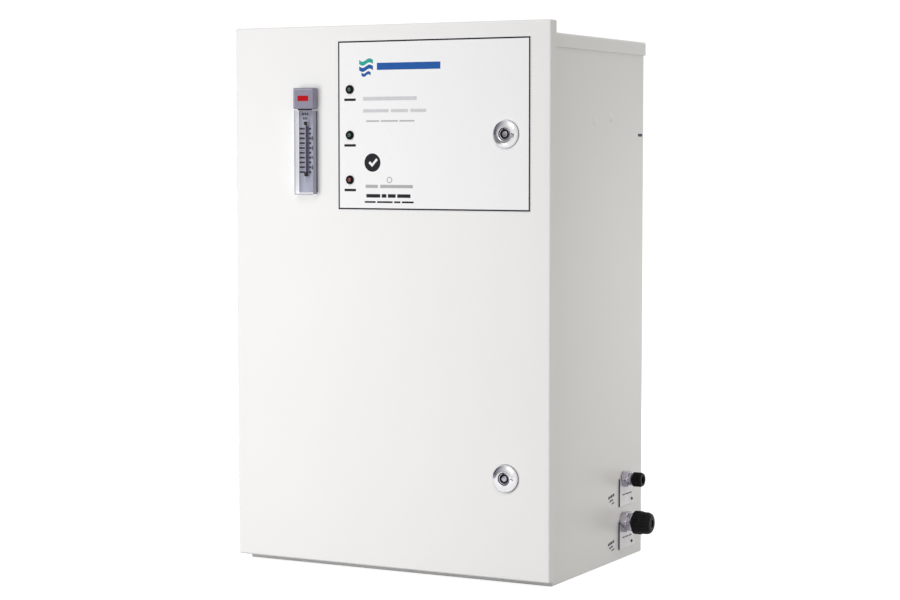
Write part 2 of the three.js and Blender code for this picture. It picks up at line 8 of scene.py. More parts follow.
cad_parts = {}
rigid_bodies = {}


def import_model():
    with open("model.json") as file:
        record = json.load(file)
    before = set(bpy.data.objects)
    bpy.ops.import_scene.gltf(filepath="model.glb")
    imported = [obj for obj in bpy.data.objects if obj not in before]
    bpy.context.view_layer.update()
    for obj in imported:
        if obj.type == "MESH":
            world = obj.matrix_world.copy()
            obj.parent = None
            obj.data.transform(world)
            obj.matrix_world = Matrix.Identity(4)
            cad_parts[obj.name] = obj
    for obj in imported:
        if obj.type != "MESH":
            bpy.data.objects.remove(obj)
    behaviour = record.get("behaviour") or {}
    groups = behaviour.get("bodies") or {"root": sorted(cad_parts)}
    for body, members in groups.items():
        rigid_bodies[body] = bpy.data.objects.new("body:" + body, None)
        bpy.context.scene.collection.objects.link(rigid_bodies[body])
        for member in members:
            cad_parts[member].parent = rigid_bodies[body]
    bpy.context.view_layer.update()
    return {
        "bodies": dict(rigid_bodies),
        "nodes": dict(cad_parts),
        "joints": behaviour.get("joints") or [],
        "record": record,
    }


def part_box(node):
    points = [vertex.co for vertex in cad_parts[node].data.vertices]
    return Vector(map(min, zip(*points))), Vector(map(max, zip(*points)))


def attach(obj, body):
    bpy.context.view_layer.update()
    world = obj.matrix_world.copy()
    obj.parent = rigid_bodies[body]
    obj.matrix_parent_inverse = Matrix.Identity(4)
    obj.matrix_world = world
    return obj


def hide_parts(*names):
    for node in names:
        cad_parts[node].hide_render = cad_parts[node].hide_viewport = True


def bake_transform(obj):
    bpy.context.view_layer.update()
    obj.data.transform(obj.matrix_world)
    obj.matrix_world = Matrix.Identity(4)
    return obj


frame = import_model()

MM = 0.001

# ---------------------------------------------------------------- places, in millimetres


def span(node):
    """Lowest and highest corner of a CAD node, in millimetres."""
    low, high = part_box(node)
    return low / MM, high / MM


def middle(node):
    low, high = span(node)
    return (low + high) / 2


# ---------------------------------------------------------------- camera, lights and floor
CAMERA = {"place": (1222.3, -2313.7, 476.5), "azimuth": 27.79, "down": 3.76, "lens": 88.24}
SUN = {"azimuth": 8, "elevation": 38, "strength": 0.96, "angle": 34}
FLOOR_LIFT = {"camera": 0.85, "left": (0.5, 0.95, 0.72, 0.0)}
SURROUND = {"left": (0.36, 0.36, 0.39), "right": (0.5, 0.49, 0.465)}
MIRRORED = {"left": (0.1, 0.09, 0.14), "right": (1.0, 0.99, 0.98)}


def make_camera():
    data = bpy.data.cameras.new("camera")
    data.lens = CAMERA["lens"]
    data.sensor_width = 36
    camera = bpy.data.objects.new("camera", data)
    bpy.context.collection.objects.link(camera)
    camera.location = Vector(CAMERA["place"]) * MM
    tilt = math.radians(90 - CAMERA["down"])
    camera.rotation_euler = (tilt, 0, math.radians(CAMERA["azimuth"]))
    bpy.context.scene.camera = camera


def light_direction(azimuth, elevation):
    """Unit vector from the object towards a light; azimuth 0 is in front of the door."""
    a, e = math.radians(azimuth), math.radians(elevation)
    return Vector((math.sin(a) * math.cos(e), -math.cos(a) * math.cos(e), math.sin(e)))


def make_sun():
    data = bpy.data.lights.new("key", "SUN")
    data.energy = SUN["strength"]
    data.angle = math.radians(SUN["angle"])
    sun = bpy.data.objects.new("key", data)
    bpy.context.collection.objects.link(sun)
    towards = light_direction(SUN["azimuth"], SUN["elevation"])
    sun.rotation_euler = towards.to_track_quat("Z", "Y").to_euler()


def make_area(name, place, aim, size, power, tint=(1, 1, 1)):
    data = bpy.data.lights.new(name, "AREA")
    data.color = tint
    data.shape = "RECTANGLE"
    data.size, data.size_y = size
    data.energy = power
    lamp = bpy.data.objects.new(name, data)
    bpy.context.collection.objects.link(lamp)
    lamp.location = place
    lamp.visible_camera = False
    lamp.visible_glossy = False
    lamp.rotation_euler = (Vector(place) - Vector(aim)).to_track_quat("Z", "Y").to_euler()


def make_world():
    """A surround that looks white, lights from dim on the left to bright on the right, and shows
    bare metal a dark card at the far left."""
    world = bpy.data.worlds.new("studio")
    world.use_nodes = True
    bpy.context.scene.world = world
    nodes, links = world.node_tree.nodes, world.node_tree.links
    place = nodes.new("ShaderNodeTexCoord")
    split = nodes.new("ShaderNodeSeparateXYZ")
    links.new(place.outputs["Generated"], split.inputs["Vector"])
    path = nodes.new("ShaderNodeLightPath")

    def ramp(colours, left_x, right_x):
        share = nodes.new("ShaderNodeMapRange")
        share.inputs["From Min"].default_value = left_x
        share.inputs["From Max"].default_value = right_x
        links.new(split.outputs["X"], share.inputs["Value"])
        band = nodes.new("ShaderNodeValToRGB")
        for stop, side in zip(band.color_ramp.elements, ("left", "right")):
            stop.color = (*colours[side], 1)
        links.new(share.outputs["Result"], band.inputs["Fac"])
        return band.outputs["Color"]

    def choose(ray, otherwise, colour):
        mix = nodes.new("ShaderNodeMix")
        mix.data_type = "RGBA"
        links.new(path.outputs[ray], mix.inputs["Factor"])
        links.new(otherwise, mix.inputs["A"])
        if isinstance(colour, tuple):
            mix.inputs["B"].default_value = colour
        else:
            links.new(colour, mix.inputs["B"])
        return mix.outputs["Result"]

    lit = choose("Is Glossy Ray", ramp(SURROUND, -1, 1), ramp(MIRRORED, -0.85, -0.22))
    seen = choose("Is Camera Ray", lit, (1.05, 1.05, 1.05, 1))
    links.new(seen, nodes["Background"].inputs["Color"])


def make_floor():
    """A pale floor, lifted to white for the camera, and near the object for bare metal."""
    bm = bmesh.new()
    bmesh.ops.create_circle(bm, cap_ends=True, segments=96, radius=30)
    data = bpy.data.meshes.new("floor")
    bm.to_mesh(data)
    bm.free()
    floor = bpy.data.objects.new("floor", data)
    bpy.context.collection.objects.link(floor)
    finish = Finish("floor_pale", (0.36, 0.36, 0.36), 0.8).mottle(3, 0.01).uneven_gloss(8, 0.05)
    path = finish.node("ShaderNodeLightPath")
    place = finish.node("ShaderNodeTexCoord")
    away = finish.node("ShaderNodeVectorMath", operation="DOT_PRODUCT")
    away.inputs[1].default_value = (-0.96, -0.28, 0)
    finish.link(place.outputs["Object"], away.inputs[0])
    fade = finish.node("ShaderNodeMapRange")
    for name, value in zip(("From Min", "From Max", "To Min", "To Max"), FLOOR_LIFT["left"]):
        fade.inputs[name].default_value = value
    finish.link(away.outputs["Value"], fade.inputs["Value"])
    metal = finish.node("ShaderNodeMath", operation="MULTIPLY")
    finish.link(path.outputs["Is Glossy Ray"], metal.inputs[0])
    finish.link(fade.outputs["Result"], metal.inputs[1])
    lift = finish.node("ShaderNodeMath", operation="MULTIPLY_ADD")
    lift.inputs[1].default_value = FLOOR_LIFT["camera"]
    finish.link(path.outputs["Is Camera Ray"], lift.inputs[0])
    finish.link(metal.outputs["Value"], lift.inputs[2])
    finish.link(lift.outputs["Value"], finish.shader.inputs["Emission Strength"])
    finish.set(Emission_Color=(1, 1, 1, 1))
    floor.data.materials.append(finish.material)


# ---------------------------------------------------------------- materials
class Finish:
    """A procedural material built round one Principled shader, in object space."""

    def __init__(self, name, colour, roughness, metallic=0.0):
        self.material = bpy.data.materials.new(name)
        self.material.use_nodes = True
        self.tree = self.material.node_tree
        self.shader = self.tree.nodes["Principled BSDF"]
        self.shader.inputs["Roughness"].default_value = roughness
        self.shader.inputs["Metallic"].default_value = metallic
        self.shader.inputs["Base Color"].default_value = (*colour, 1)
        self.colour = colour
        self.roughness = roughness
        self.height = None

    def node(self, kind, **values):
        node = self.tree.nodes.new(kind)
        for key, value in values.items():
            setattr(node, key, value)
        return node

    def link(self, output, target):
        self.tree.links.new(output, target)

    def noise(self, scale, detail=3.0, stretch=(1, 1, 1)):
        """Noise output in object space; scale is features per metre."""
        place = self.node("ShaderNodeTexCoord")
        mapping = self.node("ShaderNodeMapping")
        mapping.inputs["Scale"].default_value = stretch
        noise = self.node("ShaderNodeTexNoise")
        noise.inputs["Scale"].default_value = scale
        noise.inputs["Detail"].default_value = detail
        self.link(place.outputs["Object"], mapping.inputs["Vector"])
        self.link(mapping.outputs["Vector"], noise.inputs["Vector"])
        return noise.outputs["Fac"]

    def spread(self, value, low, high):
        """Maps a noise value onto low..high."""
        ramp = self.node("ShaderNodeMapRange")
        ramp.inputs["From Min"].default_value = 0.3
        ramp.inputs["From Max"].default_value = 0.7
        ramp.inputs["To Min"].default_value = low
        ramp.inputs["To Max"].default_value = high
        self.link(value, ramp.inputs["Value"])
        return ramp.outputs["Result"]

    def mottle(self, scale, amount, stretch=(1, 1, 1)):
        """Lightens and darkens the colour by a share, in soft patches."""
        factor = self.spread(self.noise(scale, stretch=stretch), 1 - amount, 1 + amount)
        mix = self.node("ShaderNodeVectorMath", operation="SCALE")
        mix.inputs[0].default_value = self.colour
        self.link(factor, mix.inputs["Scale"])
        self.link(mix.outputs["Vector"], self.shader.inputs["Base Color"])
        return self

    def uneven_gloss(self, scale, amount, stretch=(1, 1, 1)):
        value = self.spread(self.noise(scale, stretch=stretch), self.roughness - amount,
                            self.roughness + amount)
        self.link(value, self.shader.inputs["Roughness"])
        return self

    def grain(self, scale, depth, detail=2.0, stretch=(1, 1, 1), strength=1.0):
        """Bump of a depth in millimetres."""
        bump = self.node("ShaderNodeBump")
        bump.inputs["Distance"].default_value = depth * MM
        bump.inputs["Strength"].default_value = strength
        self.link(self.noise(scale, detail, stretch), bump.inputs["Height"])
        if self.height:
            self.link(self.height, bump.inputs["Normal"])
        self.height = bump.outputs["Normal"]
        self.link(self.height, self.shader.inputs["Normal"])
        return self

    def set(self, **values):
        for key, value in values.items():
            self.shader.inputs[key.replace("_", " ")].default_value = value
        return self


def make_materials():
    made = {}

    def make(name, *look):
        finish = Finish(name, *look)
        made[name] = finish.material
        return finish

    (make("paint_white", (0.848, 0.843, 0.835), 0.4)
     .mottle(6, 0.008).uneven_gloss(300, 0.05).grain(520, 0.05, strength=0.35)
     .set(Coat_Weight=0.15, Coat_Roughness=0.3))
    (make("chrome", (0.78, 0.78, 0.8), 0.12, 1.0)
     .mottle(60, 0.04).uneven_gloss(180, 0.04).grain(900, 0.01, strength=0.3))
    (make("steel", (0.56, 0.56, 0.57), 0.32, 1.0)
     .mottle(40, 0.06).uneven_gloss(500, 0.08, (1, 1, 0.04)).grain(1500, 0.01, stretch=(1, 1, 0.03)))
    (make("zinc", (0.6, 0.61, 0.61), 0.42, 1.0)
     .mottle(120, 0.05).uneven_gloss(160, 0.05).grain(400, 0.02, strength=0.3))
    (make("aluminium", (0.72, 0.725, 0.73), 0.36, 1.0)
     .mottle(30, 0.05, (1, 1, 0.05)).uneven_gloss(900, 0.07, (1, 1, 0.02))
     .grain(2200, 0.012, stretch=(1, 1, 0.01)))
    (make("black_plastic", (0.006, 0.006, 0.007), 0.36)
     .mottle(120, 0.25).uneven_gloss(250, 0.07).grain(1600, 0.03, strength=0.5).set(Specular_IOR_Level=0.09))
    (make("grey_plastic", (0.25, 0.238, 0.315), 0.42)
     .mottle(90, 0.05).uneven_gloss(200, 0.05).grain(1500, 0.02, strength=0.4))
    (make("natural_plastic", (0.8, 0.79, 0.74), 0.36)
     .mottle(60, 0.03).uneven_gloss(150, 0.05).grain(900, 0.02, strength=0.3)
     .set(Subsurface_Weight=0.15, Subsurface_Scale=0.004))
    (make("solder_mask", (0.012, 0.13, 0.05), 0.32)
     .mottle(400, 0.2).uneven_gloss(300, 0.06).grain(700, 0.03, strength=0.5))
    (make("potting", (0.02, 0.021, 0.025), 0.38)
     .mottle(40, 0.2).uneven_gloss(80, 0.1).grain(300, 0.08, strength=0.5))
    (make("hose", (0.82, 0.82, 0.79), 0.22)
     .mottle(50, 0.04).uneven_gloss(90, 0.05).grain(500, 0.01, strength=0.3)
     .set(Subsurface_Weight=0.3, Subsurface_Scale=0.004, Coat_Weight=0.3, Coat_Roughness=0.1))
    (make("foam", (0.022, 0.022, 0.026), 0.85)
     .mottle(500, 0.3).grain(2500, 0.12, strength=0.8))
    (make("label_film", (0.875, 0.875, 0.878), 0.3)
     .mottle(9, 0.003).uneven_gloss(400, 0.03).grain(1200, 0.004, strength=0.2))
    (make("clear", (0.8, 0.8, 0.86), 0.06)
     .mottle(30, 0.02).grain(150, 0.01, strength=0.3).set(Alpha=0.02, IOR=1.49))
    # Frosted acrylic edge faces; the emission is a painted glow standing in for light gathered at the block's
    # left and bottom edges.
    (make("frosted_painted_glow", (0.86, 0.86, 0.88), 0.5)
     .mottle(80, 0.03).uneven_gloss(200, 0.06).grain(900, 0.02, strength=0.4)
     .set(Emission_Color=(1, 1, 1, 1), Emission_Strength=0.42))
    (make("scale_plate", (0.34, 0.345, 0.43), 0.5)
     .mottle(120, 0.03).uneven_gloss(150, 0.05))
    (make("nickel", (0.46, 0.44, 0.5), 0.17, 1.0)
     .mottle(150, 0.08).uneven_gloss(400, 0.06).grain(900, 0.02, strength=0.4))
    (make("tag_plate", (0.72, 0.71, 0.73), 0.36, 0.35)
     .mottle(120, 0.05).uneven_gloss(90, 0.08).grain(700, 0.02, strength=0.4))
    (make("lens_green", (0.003, 0.055, 0.03), 0.1)
     .mottle(900, 0.2).grain(1500, 0.02).set(Coat_Weight=1.0, Coat_Roughness=0.05))
    (make("lens_red", (0.14, 0.006, 0.007), 0.1)
     .mottle(900, 0.2).grain(1500, 0.02).set(Coat_Weight=1.0, Coat_Roughness=0.05))
    inks = {"ink_black": (0.02, 0.02, 0.024), "ink_grey": (0.42, 0.42, 0.43), "ink_blue": (0.02, 0.1, 0.36),
            "ink_teal": (0.03, 0.36, 0.3), "ink_white": (0.86, 0.86, 0.86), "ink_red": (0.43, 0.006, 0.01),
            "ink_light": (0.6, 0.6, 0.62), "ink_violet": (0.04, 0.03, 0.075), "ink_green": (0.015, 0.2, 0.06),
            "ink_copper": (0.45, 0.2, 0.08), "ink_sleeve": (0.03, 0.05, 0.16)}
    for name, colour in inks.items():
        make(name, colour, 0.34).mottle(200, 0.05).uneven_gloss(120, 0.04).set(Specular_IOR_Level=0.15)
    return made


MATERIALS = {}

# ---------------------------------------------------------------- mesh building, in millimetres

def along(axis, radius_part, height):
    """Point of a turned shape: its two cross coordinates and its height along an axis."""
    a, b = radius_part
    return {"x": (height, a, b), "y": (b, height, a), "z": (a, b, height)}[axis]


def bridge(bm, first, second):
    """Quads between two rings of vertices; a ring of one vertex is a point."""
    count = max(len(first), len(second))
    for i in range(count):
        j = (i + 1) % count
        corners = [first[i % len(first)], first[j % len(first)], second[j % len(second)],
                   second[i % len(second)]]
        unique = list(dict.fromkeys(corners))
        if len(unique) > 2:
            bm.faces.new(unique)


def add_rings(bm, rings, closed=False):
    """Skins a run of rings of points. An open run is capped at both ends."""
    made = [[bm.verts.new(p) for p in ring] for ring in rings]
    for first, second in zip(made, made[1:]):
        bridge(bm, first, second)
    if closed:
        bridge(bm, made[-1], made[0])
        return
    for ring in (made[0], made[-1]):
        if len(ring) > 2:
            bm.faces.new(ring)


def soften(points, radius, closed=False, segments=3):
    """Rounds the corners of a profile; points on the axis at its ends stay."""
    out = []
    count = len(points)
    for i, point in enumerate(points):
        if not closed and i in (0, count - 1):
            out.append(tuple(point))
            continue
        here = Vector(point)
        before, after = Vector(points[i - 1]), Vector(points[(i + 1) % count])
        reach = min(radius, (before - here).length * 0.45, (after - here).length * 0.45)
        start = here + (before - here).normalized() * reach
        end = here + (after - here).normalized() * reach
        for k in range(segments + 1):
            t = k / segments
            out.append(tuple(start.lerp(here, t).lerp(here.lerp(end, t), t)))
    return out


def section(inner, outer, low, high):
    """Steps of a plain ring, or of a rod if inner is 0."""
    return [(inner, low), (outer, low), (outer, high), (inner, high)]


def add_turned(bm, axis, centre, steps, segments=64, closed=False, soft=0.4):
    """A turned shape from (radius, height) steps; it starts and ends on the axis, or closes."""
    profile = soften(steps, soft, closed) if soft else steps
    centre = Vector(centre)
    rings = []
    for radius, height in profile:
        count = segments if radius > 1e-6 else 1
        turns = [2 * math.pi * k / segments for k in range(count)]
        rings.append([centre + Vector(along(axis, (radius * math.cos(t), radius * math.sin(t)), height))
                      for t in turns])
    add_rings(bm, rings, closed)


def add_ribbed(bm, axis, centre, steps, ribs, per_rib=4):
    """A closed turned ring whose (radius, height, depth) steps carry grooves along the axis."""
    centre = Vector(centre)
    count = ribs * per_rib
    rings = []
    for radius, height, depth in steps:
        ring = []
        for k in range(count):
            turn = 2 * math.pi * k / count
            r = radius - (depth if k % per_rib >= per_rib / 2 else 0)
            ring.append(centre + Vector(along(axis, (r * math.cos(turn), r * math.sin(turn)), height)))
        rings.append(ring)
    add_rings(bm, rings, closed=True)


def add_hex_nut(bm, axis, centre, flats, low, high, bore, chamfer=0.6, count=72, turn=0.0):
    """A hexagon with turned-off corners from low to high, bored through."""
    corner = flats / 2 / math.cos(math.pi / 6)
    across = []
    for k in range(count):
        angle = (2 * math.pi * k / count) % (math.pi / 3) - math.pi / 6
        across.append(flats / 2 / math.cos(angle))
    rings = []
    limit = corner - chamfer * 1.8
    outside = [(low, limit), (low + chamfer, corner), (high - chamfer, corner), (high, limit)]
    for height, reach in outside + [(high, 0), (low, 0)]:
        ring = []
        for k, radius in enumerate(across):
            r = min(radius, reach) if reach else bore
            angle = 2 * math.pi * k / count + turn
            ring.append(Vector(centre) + Vector(along(axis, (r * math.cos(angle), r * math.sin(angle)),
                                                      height)))
        rings.append(ring)
    add_rings(bm, rings, closed=True)


def add_thread(bm, axis, centre, radius, low, high, pitch=1.5, bore=0.0, segments=48):
    """A rod or sleeve with rings standing for its thread."""
    turns = max(1, round((high - low) / pitch))
    step = (high - low) / turns
    crests = [(radius - 0.45 * (k % 2), low + step * k / 2) for k in range(1, 2 * turns)]
    ends = [(bore, low), (radius - 0.45, low)], [(radius - 0.45, high), (bore, high)]
    add_turned(bm, axis, centre, [*ends[0], *crests, *ends[1]], segments, closed=bore > 0, soft=0)


def add_screw(bm, axis, place, radius, out=1, height=0.55):
    """A screw head with a socket, standing out of a face; out is the sign of its direction."""
    tall = radius * height
    steps = [(0, tall * 0.35), (radius * 0.36, tall * 0.35), (radius * 0.45, tall),
             (radius * 0.72, tall * 0.96),
             (radius, tall * 0.35), (radius, 0), (0, 0)]
    add_turned(bm, axis, place, [(r, h * out) for r, h in steps], 24, soft=0.08)


def add_barbs(bm, axis, place, radius, low, high, teeth=4):
    """A hose barb: a run of small cones along an axis; high is its tip."""
    step = (high - low) / teeth
    steps = [(0, low), (radius, low)]
    for k in range(teeth):
        steps += [(radius, low + step * (k + 0.3)), (radius - 0.55, low + step * (k + 1))]
    add_turned(bm, axis, place, [*steps, (0, high)], 32, soft=0)


def merge(bm, other):
    data = bpy.data.meshes.new("part")
    other.to_mesh(data)
    other.free()
    bm.from_mesh(data)
    bpy.data.meshes.remove(data)


def add_box(bm, low, high, round_by=0.5, segments=2):
    low, high = Vector(low), Vector(high)
    part = bmesh.new()
    bmesh.ops.create_cube(part, size=1)
    bmesh.ops.scale(part, vec=high - low, verts=part.verts)
    bmesh.ops.translate(part, vec=(low + high) / 2, verts=part.verts)
    if round_by:
        size = min(high - low)
        bmesh.ops.bevel(part, geom=part.edges[:], offset=min(round_by, size * 0.45), segments=segments,
                        profile=0.5, affect="EDGES")
    merge(bm, part)


def add_prism(bm, axis, outline, low, high, round_by=0.0, segments=2):
    """An outline of two cross coordinates, swept from low to high along an axis."""
    part = bmesh.new()
    add_rings(part, [[along(axis, p, h) for p in outline] for h in (low, high)])
    if round_by:
        bmesh.ops.bevel(part, geom=part.edges[:], offset=round_by, segments=segments, profile=0.5,
                        affect="EDGES")
    merge(bm, part)


def circle(centre, radius, count=48, start=0.0, sweep=2 * math.pi):
    """Points round a circle, or along an arc if sweep is less than a full turn."""
    full = abs(sweep) >= 2 * math.pi - 1e-6
    steps = count if full else count - 1
    return [(centre[0] + radius * math.cos(start + sweep * k / steps),
             centre[1] + radius * math.sin(start + sweep * k / steps)) for k in range(count)]


def rounded_rectangle(half_a, half_b, radius, centre=(0, 0), corner=4):
    """Corner arcs of a rectangle about a centre."""
    out = []
    for sign_a, sign_b, turn in ((1, 1, 0), (-1, 1, 0.5), (-1, -1, 1), (1, -1, 1.5)):
        middle_a = centre[0] + sign_a * (half_a - radius)
        middle_b = centre[1] + sign_b * (half_b - radius)
        out += circle((middle_a, middle_b), radius, corner + 1, turn * math.pi, math.pi / 2)
    return out


def bend(centre, radius, start, end, count=6):
    """Arc of a sheet bend in profile, angles in degrees."""
    turns = [math.radians(start + (end - start) * k / (count - 1)) for k in range(count)]
    return [(centre[0] + radius * math.cos(t), centre[1] + radius * math.sin(t)) for t in turns]


def smooth_route(points, per_span=10):
    """Catmull-Rom points through a list of points."""
    pts = [Vector(p) for p in points]
    pts = [pts[0] * 2 - pts[1], *pts, pts[-1] * 2 - pts[-2]]
    out = []
    for p0, p1, p2, p3 in zip(pts, pts[1:], pts[2:], pts[3:]):
        for k in range(per_span):
            t = k / per_span
            out.append(0.5 * ((2 * p1) + (p2 - p0) * t + (2 * p0 - 5 * p1 + 4 * p2 - p3) * t * t
                              + (3 * p1 - p0 - 3 * p2 + p3) * t * t * t))
    return [*out, pts[-2]]


def add_tube(bm, route, radius, segments=16):
    """A round tube along a route of points, with square-cut ends."""
    route = [Vector(p) for p in route]
    rings = []
    side = None
    for i, here in enumerate(route):
        ahead = (route[min(i + 1, len(route) - 1)] - route[max(i - 1, 0)]).normalized()
        if side is None:
            side = ahead.orthogonal().normalized()
        side = (side - ahead * side.dot(ahead)).normalized()
        other = ahead.cross(side)
        rings.append([here + (side * math.cos(t) + other * math.sin(t)) * radius
                      for t in (2 * math.pi * k / segments for k in range(segments))])
    add_rings(bm, rings)


def cut(bm, tool):
    """bm with tool's volume taken away."""
    objects = []
    for part in (bm, tool):
        bmesh.ops.recalc_face_normals(part, faces=part.faces)
        data = bpy.data.meshes.new("cut")
        part.to_mesh(data)
        part.free()
        obj = bpy.data.objects.new("cut", data)
        bpy.context.collection.objects.link(obj)
        objects.append(obj)
    base, cutter = objects
    modifier = base.modifiers.new("cut", "BOOLEAN")
    modifier.operation = "DIFFERENCE"
    modifier.solver = "EXACT"
    modifier.object = cutter
    graph = bpy.context.evaluated_depsgraph_get()
    result = bmesh.new()
    result.from_object(base, graph)
    for obj in objects:
        data = obj.data
        bpy.data.objects.remove(obj)
        bpy.data.meshes.remove(data)
    return result


def drill(bm, holes, segments=48):
    """Cuts round holes: (axis, radius, from, to, centre)."""
    tool = bmesh.new()
    for axis, radius, low, high, centre in holes:
        add_turned(tool, axis, centre, section(0, radius, low, high), segments, soft=0)
    return cut(bm, tool)


def piece(name, bm, material, body, replaces=(), sharp=32):
    """Makes an object of a bmesh in millimetres, smooth but for its sharp edges, riding on a body."""
    bmesh.ops.recalc_face_normals(bm, faces=bm.faces)
    bmesh.ops.scale(bm, vec=(MM, MM, MM), verts=bm.verts)
    limit = math.radians(sharp)
    for face in bm.faces:
        face.smooth = True
    for edge in bm.edges:
        edge.smooth = len(edge.link_faces) == 2 and edge.calc_face_angle(0.0) < limit
    data = bpy.data.meshes.new(name)
    bm.to_mesh(data)
    bm.free()
    obj = bpy.data.objects.new(name, data)
    bpy.context.collection.objects.link(obj)
    weighted = obj.modifiers.new("normals", "WEIGHTED_NORMAL")
    weighted.keep_sharp = True
    data.materials.append(MATERIALS[material])
    if replaces:
        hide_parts(*replaces)
    if body:
        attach(obj, body)
    return obj


# ---------------------------------------------------------------- sheet-metal shell
SHEET = 1.5
BEND = 2.2
LAMP_HOLE, LOCK_HOLE, PORT_HOLE = 4.0, 9.8, 5.5


def frame_rings(half_a, half_b, centre, profile, corner_radius, make_point):
    """Rings of a rounded rectangle, each set in by profile's first value, at its second value."""
    rings = []
    for inset, height in profile:
        radius = max(0.25, corner_radius - inset)
        outline = rounded_rectangle(half_a - inset, half_b - inset, radius, centre)
        rings.append([make_point(p, height) for p in outline])
    return rings


def make_door():
    low, high = span("door_panel")
    half_x, half_z = (high.x - low.x) / 2, (high.z - low.z) / 2
    centre = ((high.z + low.z) / 2, (high.x + low.x) / 2)
    front, back, lip = low.y, high.y, 24
    profile = [*bend((BEND, front + BEND), BEND, 270, 180), *bend((BEND, back - BEND), BEND, 180, 90),
               (lip - 0.3, back), (lip, back - 0.3), (lip, back - SHEET + 0.3), (lip - 0.3, back - SHEET),
               *bend((BEND, back - BEND), BEND - SHEET, 90, 180),
               *bend((BEND, front + BEND), BEND - SHEET, 180, 270)]
    rings = frame_rings(half_z, half_x, centre, profile, 1.8, lambda p, h: (p[1], h, p[0]))
    bm = bmesh.new()
    add_rings(bm, rings)
    holes = [("y", LAMP_HOLE, front - 5, front + 5, (middle(n).x, 0, middle(n).z)) for n in LAMP_BEZELS]
    holes += [("y", LOCK_HOLE, front - 5, front + 5, (middle(n).x, 0, middle(n).z))
              for n in ("lock_upper_housing", "lock_lower_housing")]
    holes += [("y", PORT_HOLE, front - 5, front + 5, (middle(n).x, 0, port_height(n)))
              for n in ("flowmeter_head", "flowmeter_body")]
    piece("door_panel_sheet", drill(bm, holes), "paint_white", "door", ["door_panel"])


def port_height(node):
    """Height of the port behind the flowmeter's head or body."""
    low, high = span(node)
    return (low.z + high.z) / 2 if node == "flowmeter_head" else low.z + 10


def make_body():
    low, high = span("cabinet_body")
    half_x, half_z = (high.x - low.x) / 2, (high.z - low.z) / 2
    centre = (half_z, 0)
    front, back, flange = low.y, high.y, 24
    profile = [*bend((BEND, back - BEND), BEND, 90, 180), *bend((BEND, front + BEND), BEND, 180, 270),
               (flange - 0.3, front), (flange, front + 0.3), (flange, front + SHEET - 0.3),
               (flange - 0.3, front + SHEET), *bend((BEND, front + BEND), BEND - SHEET, 270, 180),
               *bend((BEND, back - BEND), BEND - SHEET, 180, 90)]
    rings = frame_rings(half_z, half_x, centre, profile, 1.6, lambda p, h: (p[1], h, p[0]))
    bm = bmesh.new()
    add_rings(bm, rings)
    side = high.x
    holes = [("x", 6.5, side - 6, side + 6, (0, middle("outlet_body").y, middle("outlet_body").z)),
             ("x", 10.1, side - 6, side + 6, (0, middle("gland_body").y, middle("gland_body").z))]
    holes += [("y", 4, back - 6, back + 6, (x, 0, z)) for x in (-160, 160) for z in (60, 548)]
    piece("cabinet_body_sheet", drill(bm, holes), "paint_white", "root", ["cabinet_body"])


def make_cover():
    """Cap with three turned-down sides, open towards the door."""
    low, high = span("top_cover")
    half_x, half_y = (high.x - low.x) / 2, (high.y - low.y) / 2 + 20
    centre = (0, high.y - half_y)
    top, bottom = high.z, low.z
    profile = [*bend((BEND, top - BEND), BEND, 90, 180), (0, bottom + 0.3), (0.3, bottom),
               (SHEET - 0.3, bottom),
               (SHEET, bottom + 0.3), *bend((BEND, top - BEND), BEND - SHEET, 180, 90)]
    rings = frame_rings(half_x, half_y, centre, profile, 2.0, lambda p, h: (p[0], p[1], h))
    bm = bmesh.new()
    add_rings(bm, rings)
    tool = bmesh.new()
    add_box(tool, (-half_x - 9, centre[1] - half_y - 9, bottom - 9), (half_x + 9, low.y, top + 9), 0)
    piece("top_cover_sheet", cut(bm, tool), "paint_white", "root", ["top_cover"])


LAMPS = ("power", "ozone", "vacuum")
LAMP_BEZELS = tuple(f"lamp_{name}_bezel" for name in LAMPS)
LOCKS = ("upper", "lower")
LOCK_BARREL = 23


def make_side_rivets():
    """Two painted round heads high on the right side."""
    side = span("cabinet_body")[1].x
    bm = bmesh.new()
    for y, z in ((-18, 515), (30, 519)):
        add_turned(bm, "x", (side, y, z),
                   [(0, 1.3), (2.2, 1.1), (4.2, 0.35), (4.6, 0), (4.6, -0.4), (0, -0.4)],
                   40, soft=0.3)
    piece("side_rivets", bm, "paint_white", "root")


# ---------------------------------------------------------------- door furniture
def make_gasket():
    low, high = span("door_gasket")
    bm = bmesh.new()
    half_x, half_z = (high.x - low.x) / 2, (high.z - low.z) / 2
    centre = ((high.z + low.z) / 2, 0)
    profile = soften([(0, low.y), (0, high.y), (7, high.y), (7, low.y)], 0.35, closed=True)
    rings = frame_rings(half_z, half_x, centre, profile, 1.0, lambda p, h: (p[1], h, p[0]))
    add_rings(bm, rings, closed=True)
    piece("door_gasket_strip", bm, "foam", "door", ["door_gasket"])


def make_label():
    low, high = span("front_label")
    bm = bmesh.new()
    centre = ((high.z + low.z) / 2, (high.x + low.x) / 2)
    outline = rounded_rectangle((high.z - low.z) / 2, (high.x - low.x) / 2, 1.2, centre)
    add_prism(bm, "y", outline, low.y, high.y)
    holes = [("y", LAMP_HOLE, low.y - 5, high.y + 5, (middle(n).x, 0, middle(n).z)) for n in LAMP_BEZELS]
    lock = middle("lock_upper_housing")
    holes.append(("y", LOCK_HOLE, low.y - 5, high.y + 5, (lock.x, 0, lock.z)))
    piece("front_label_film", drill(bm, holes), "label_film", "door", ["front_label"])


INK = 0.05


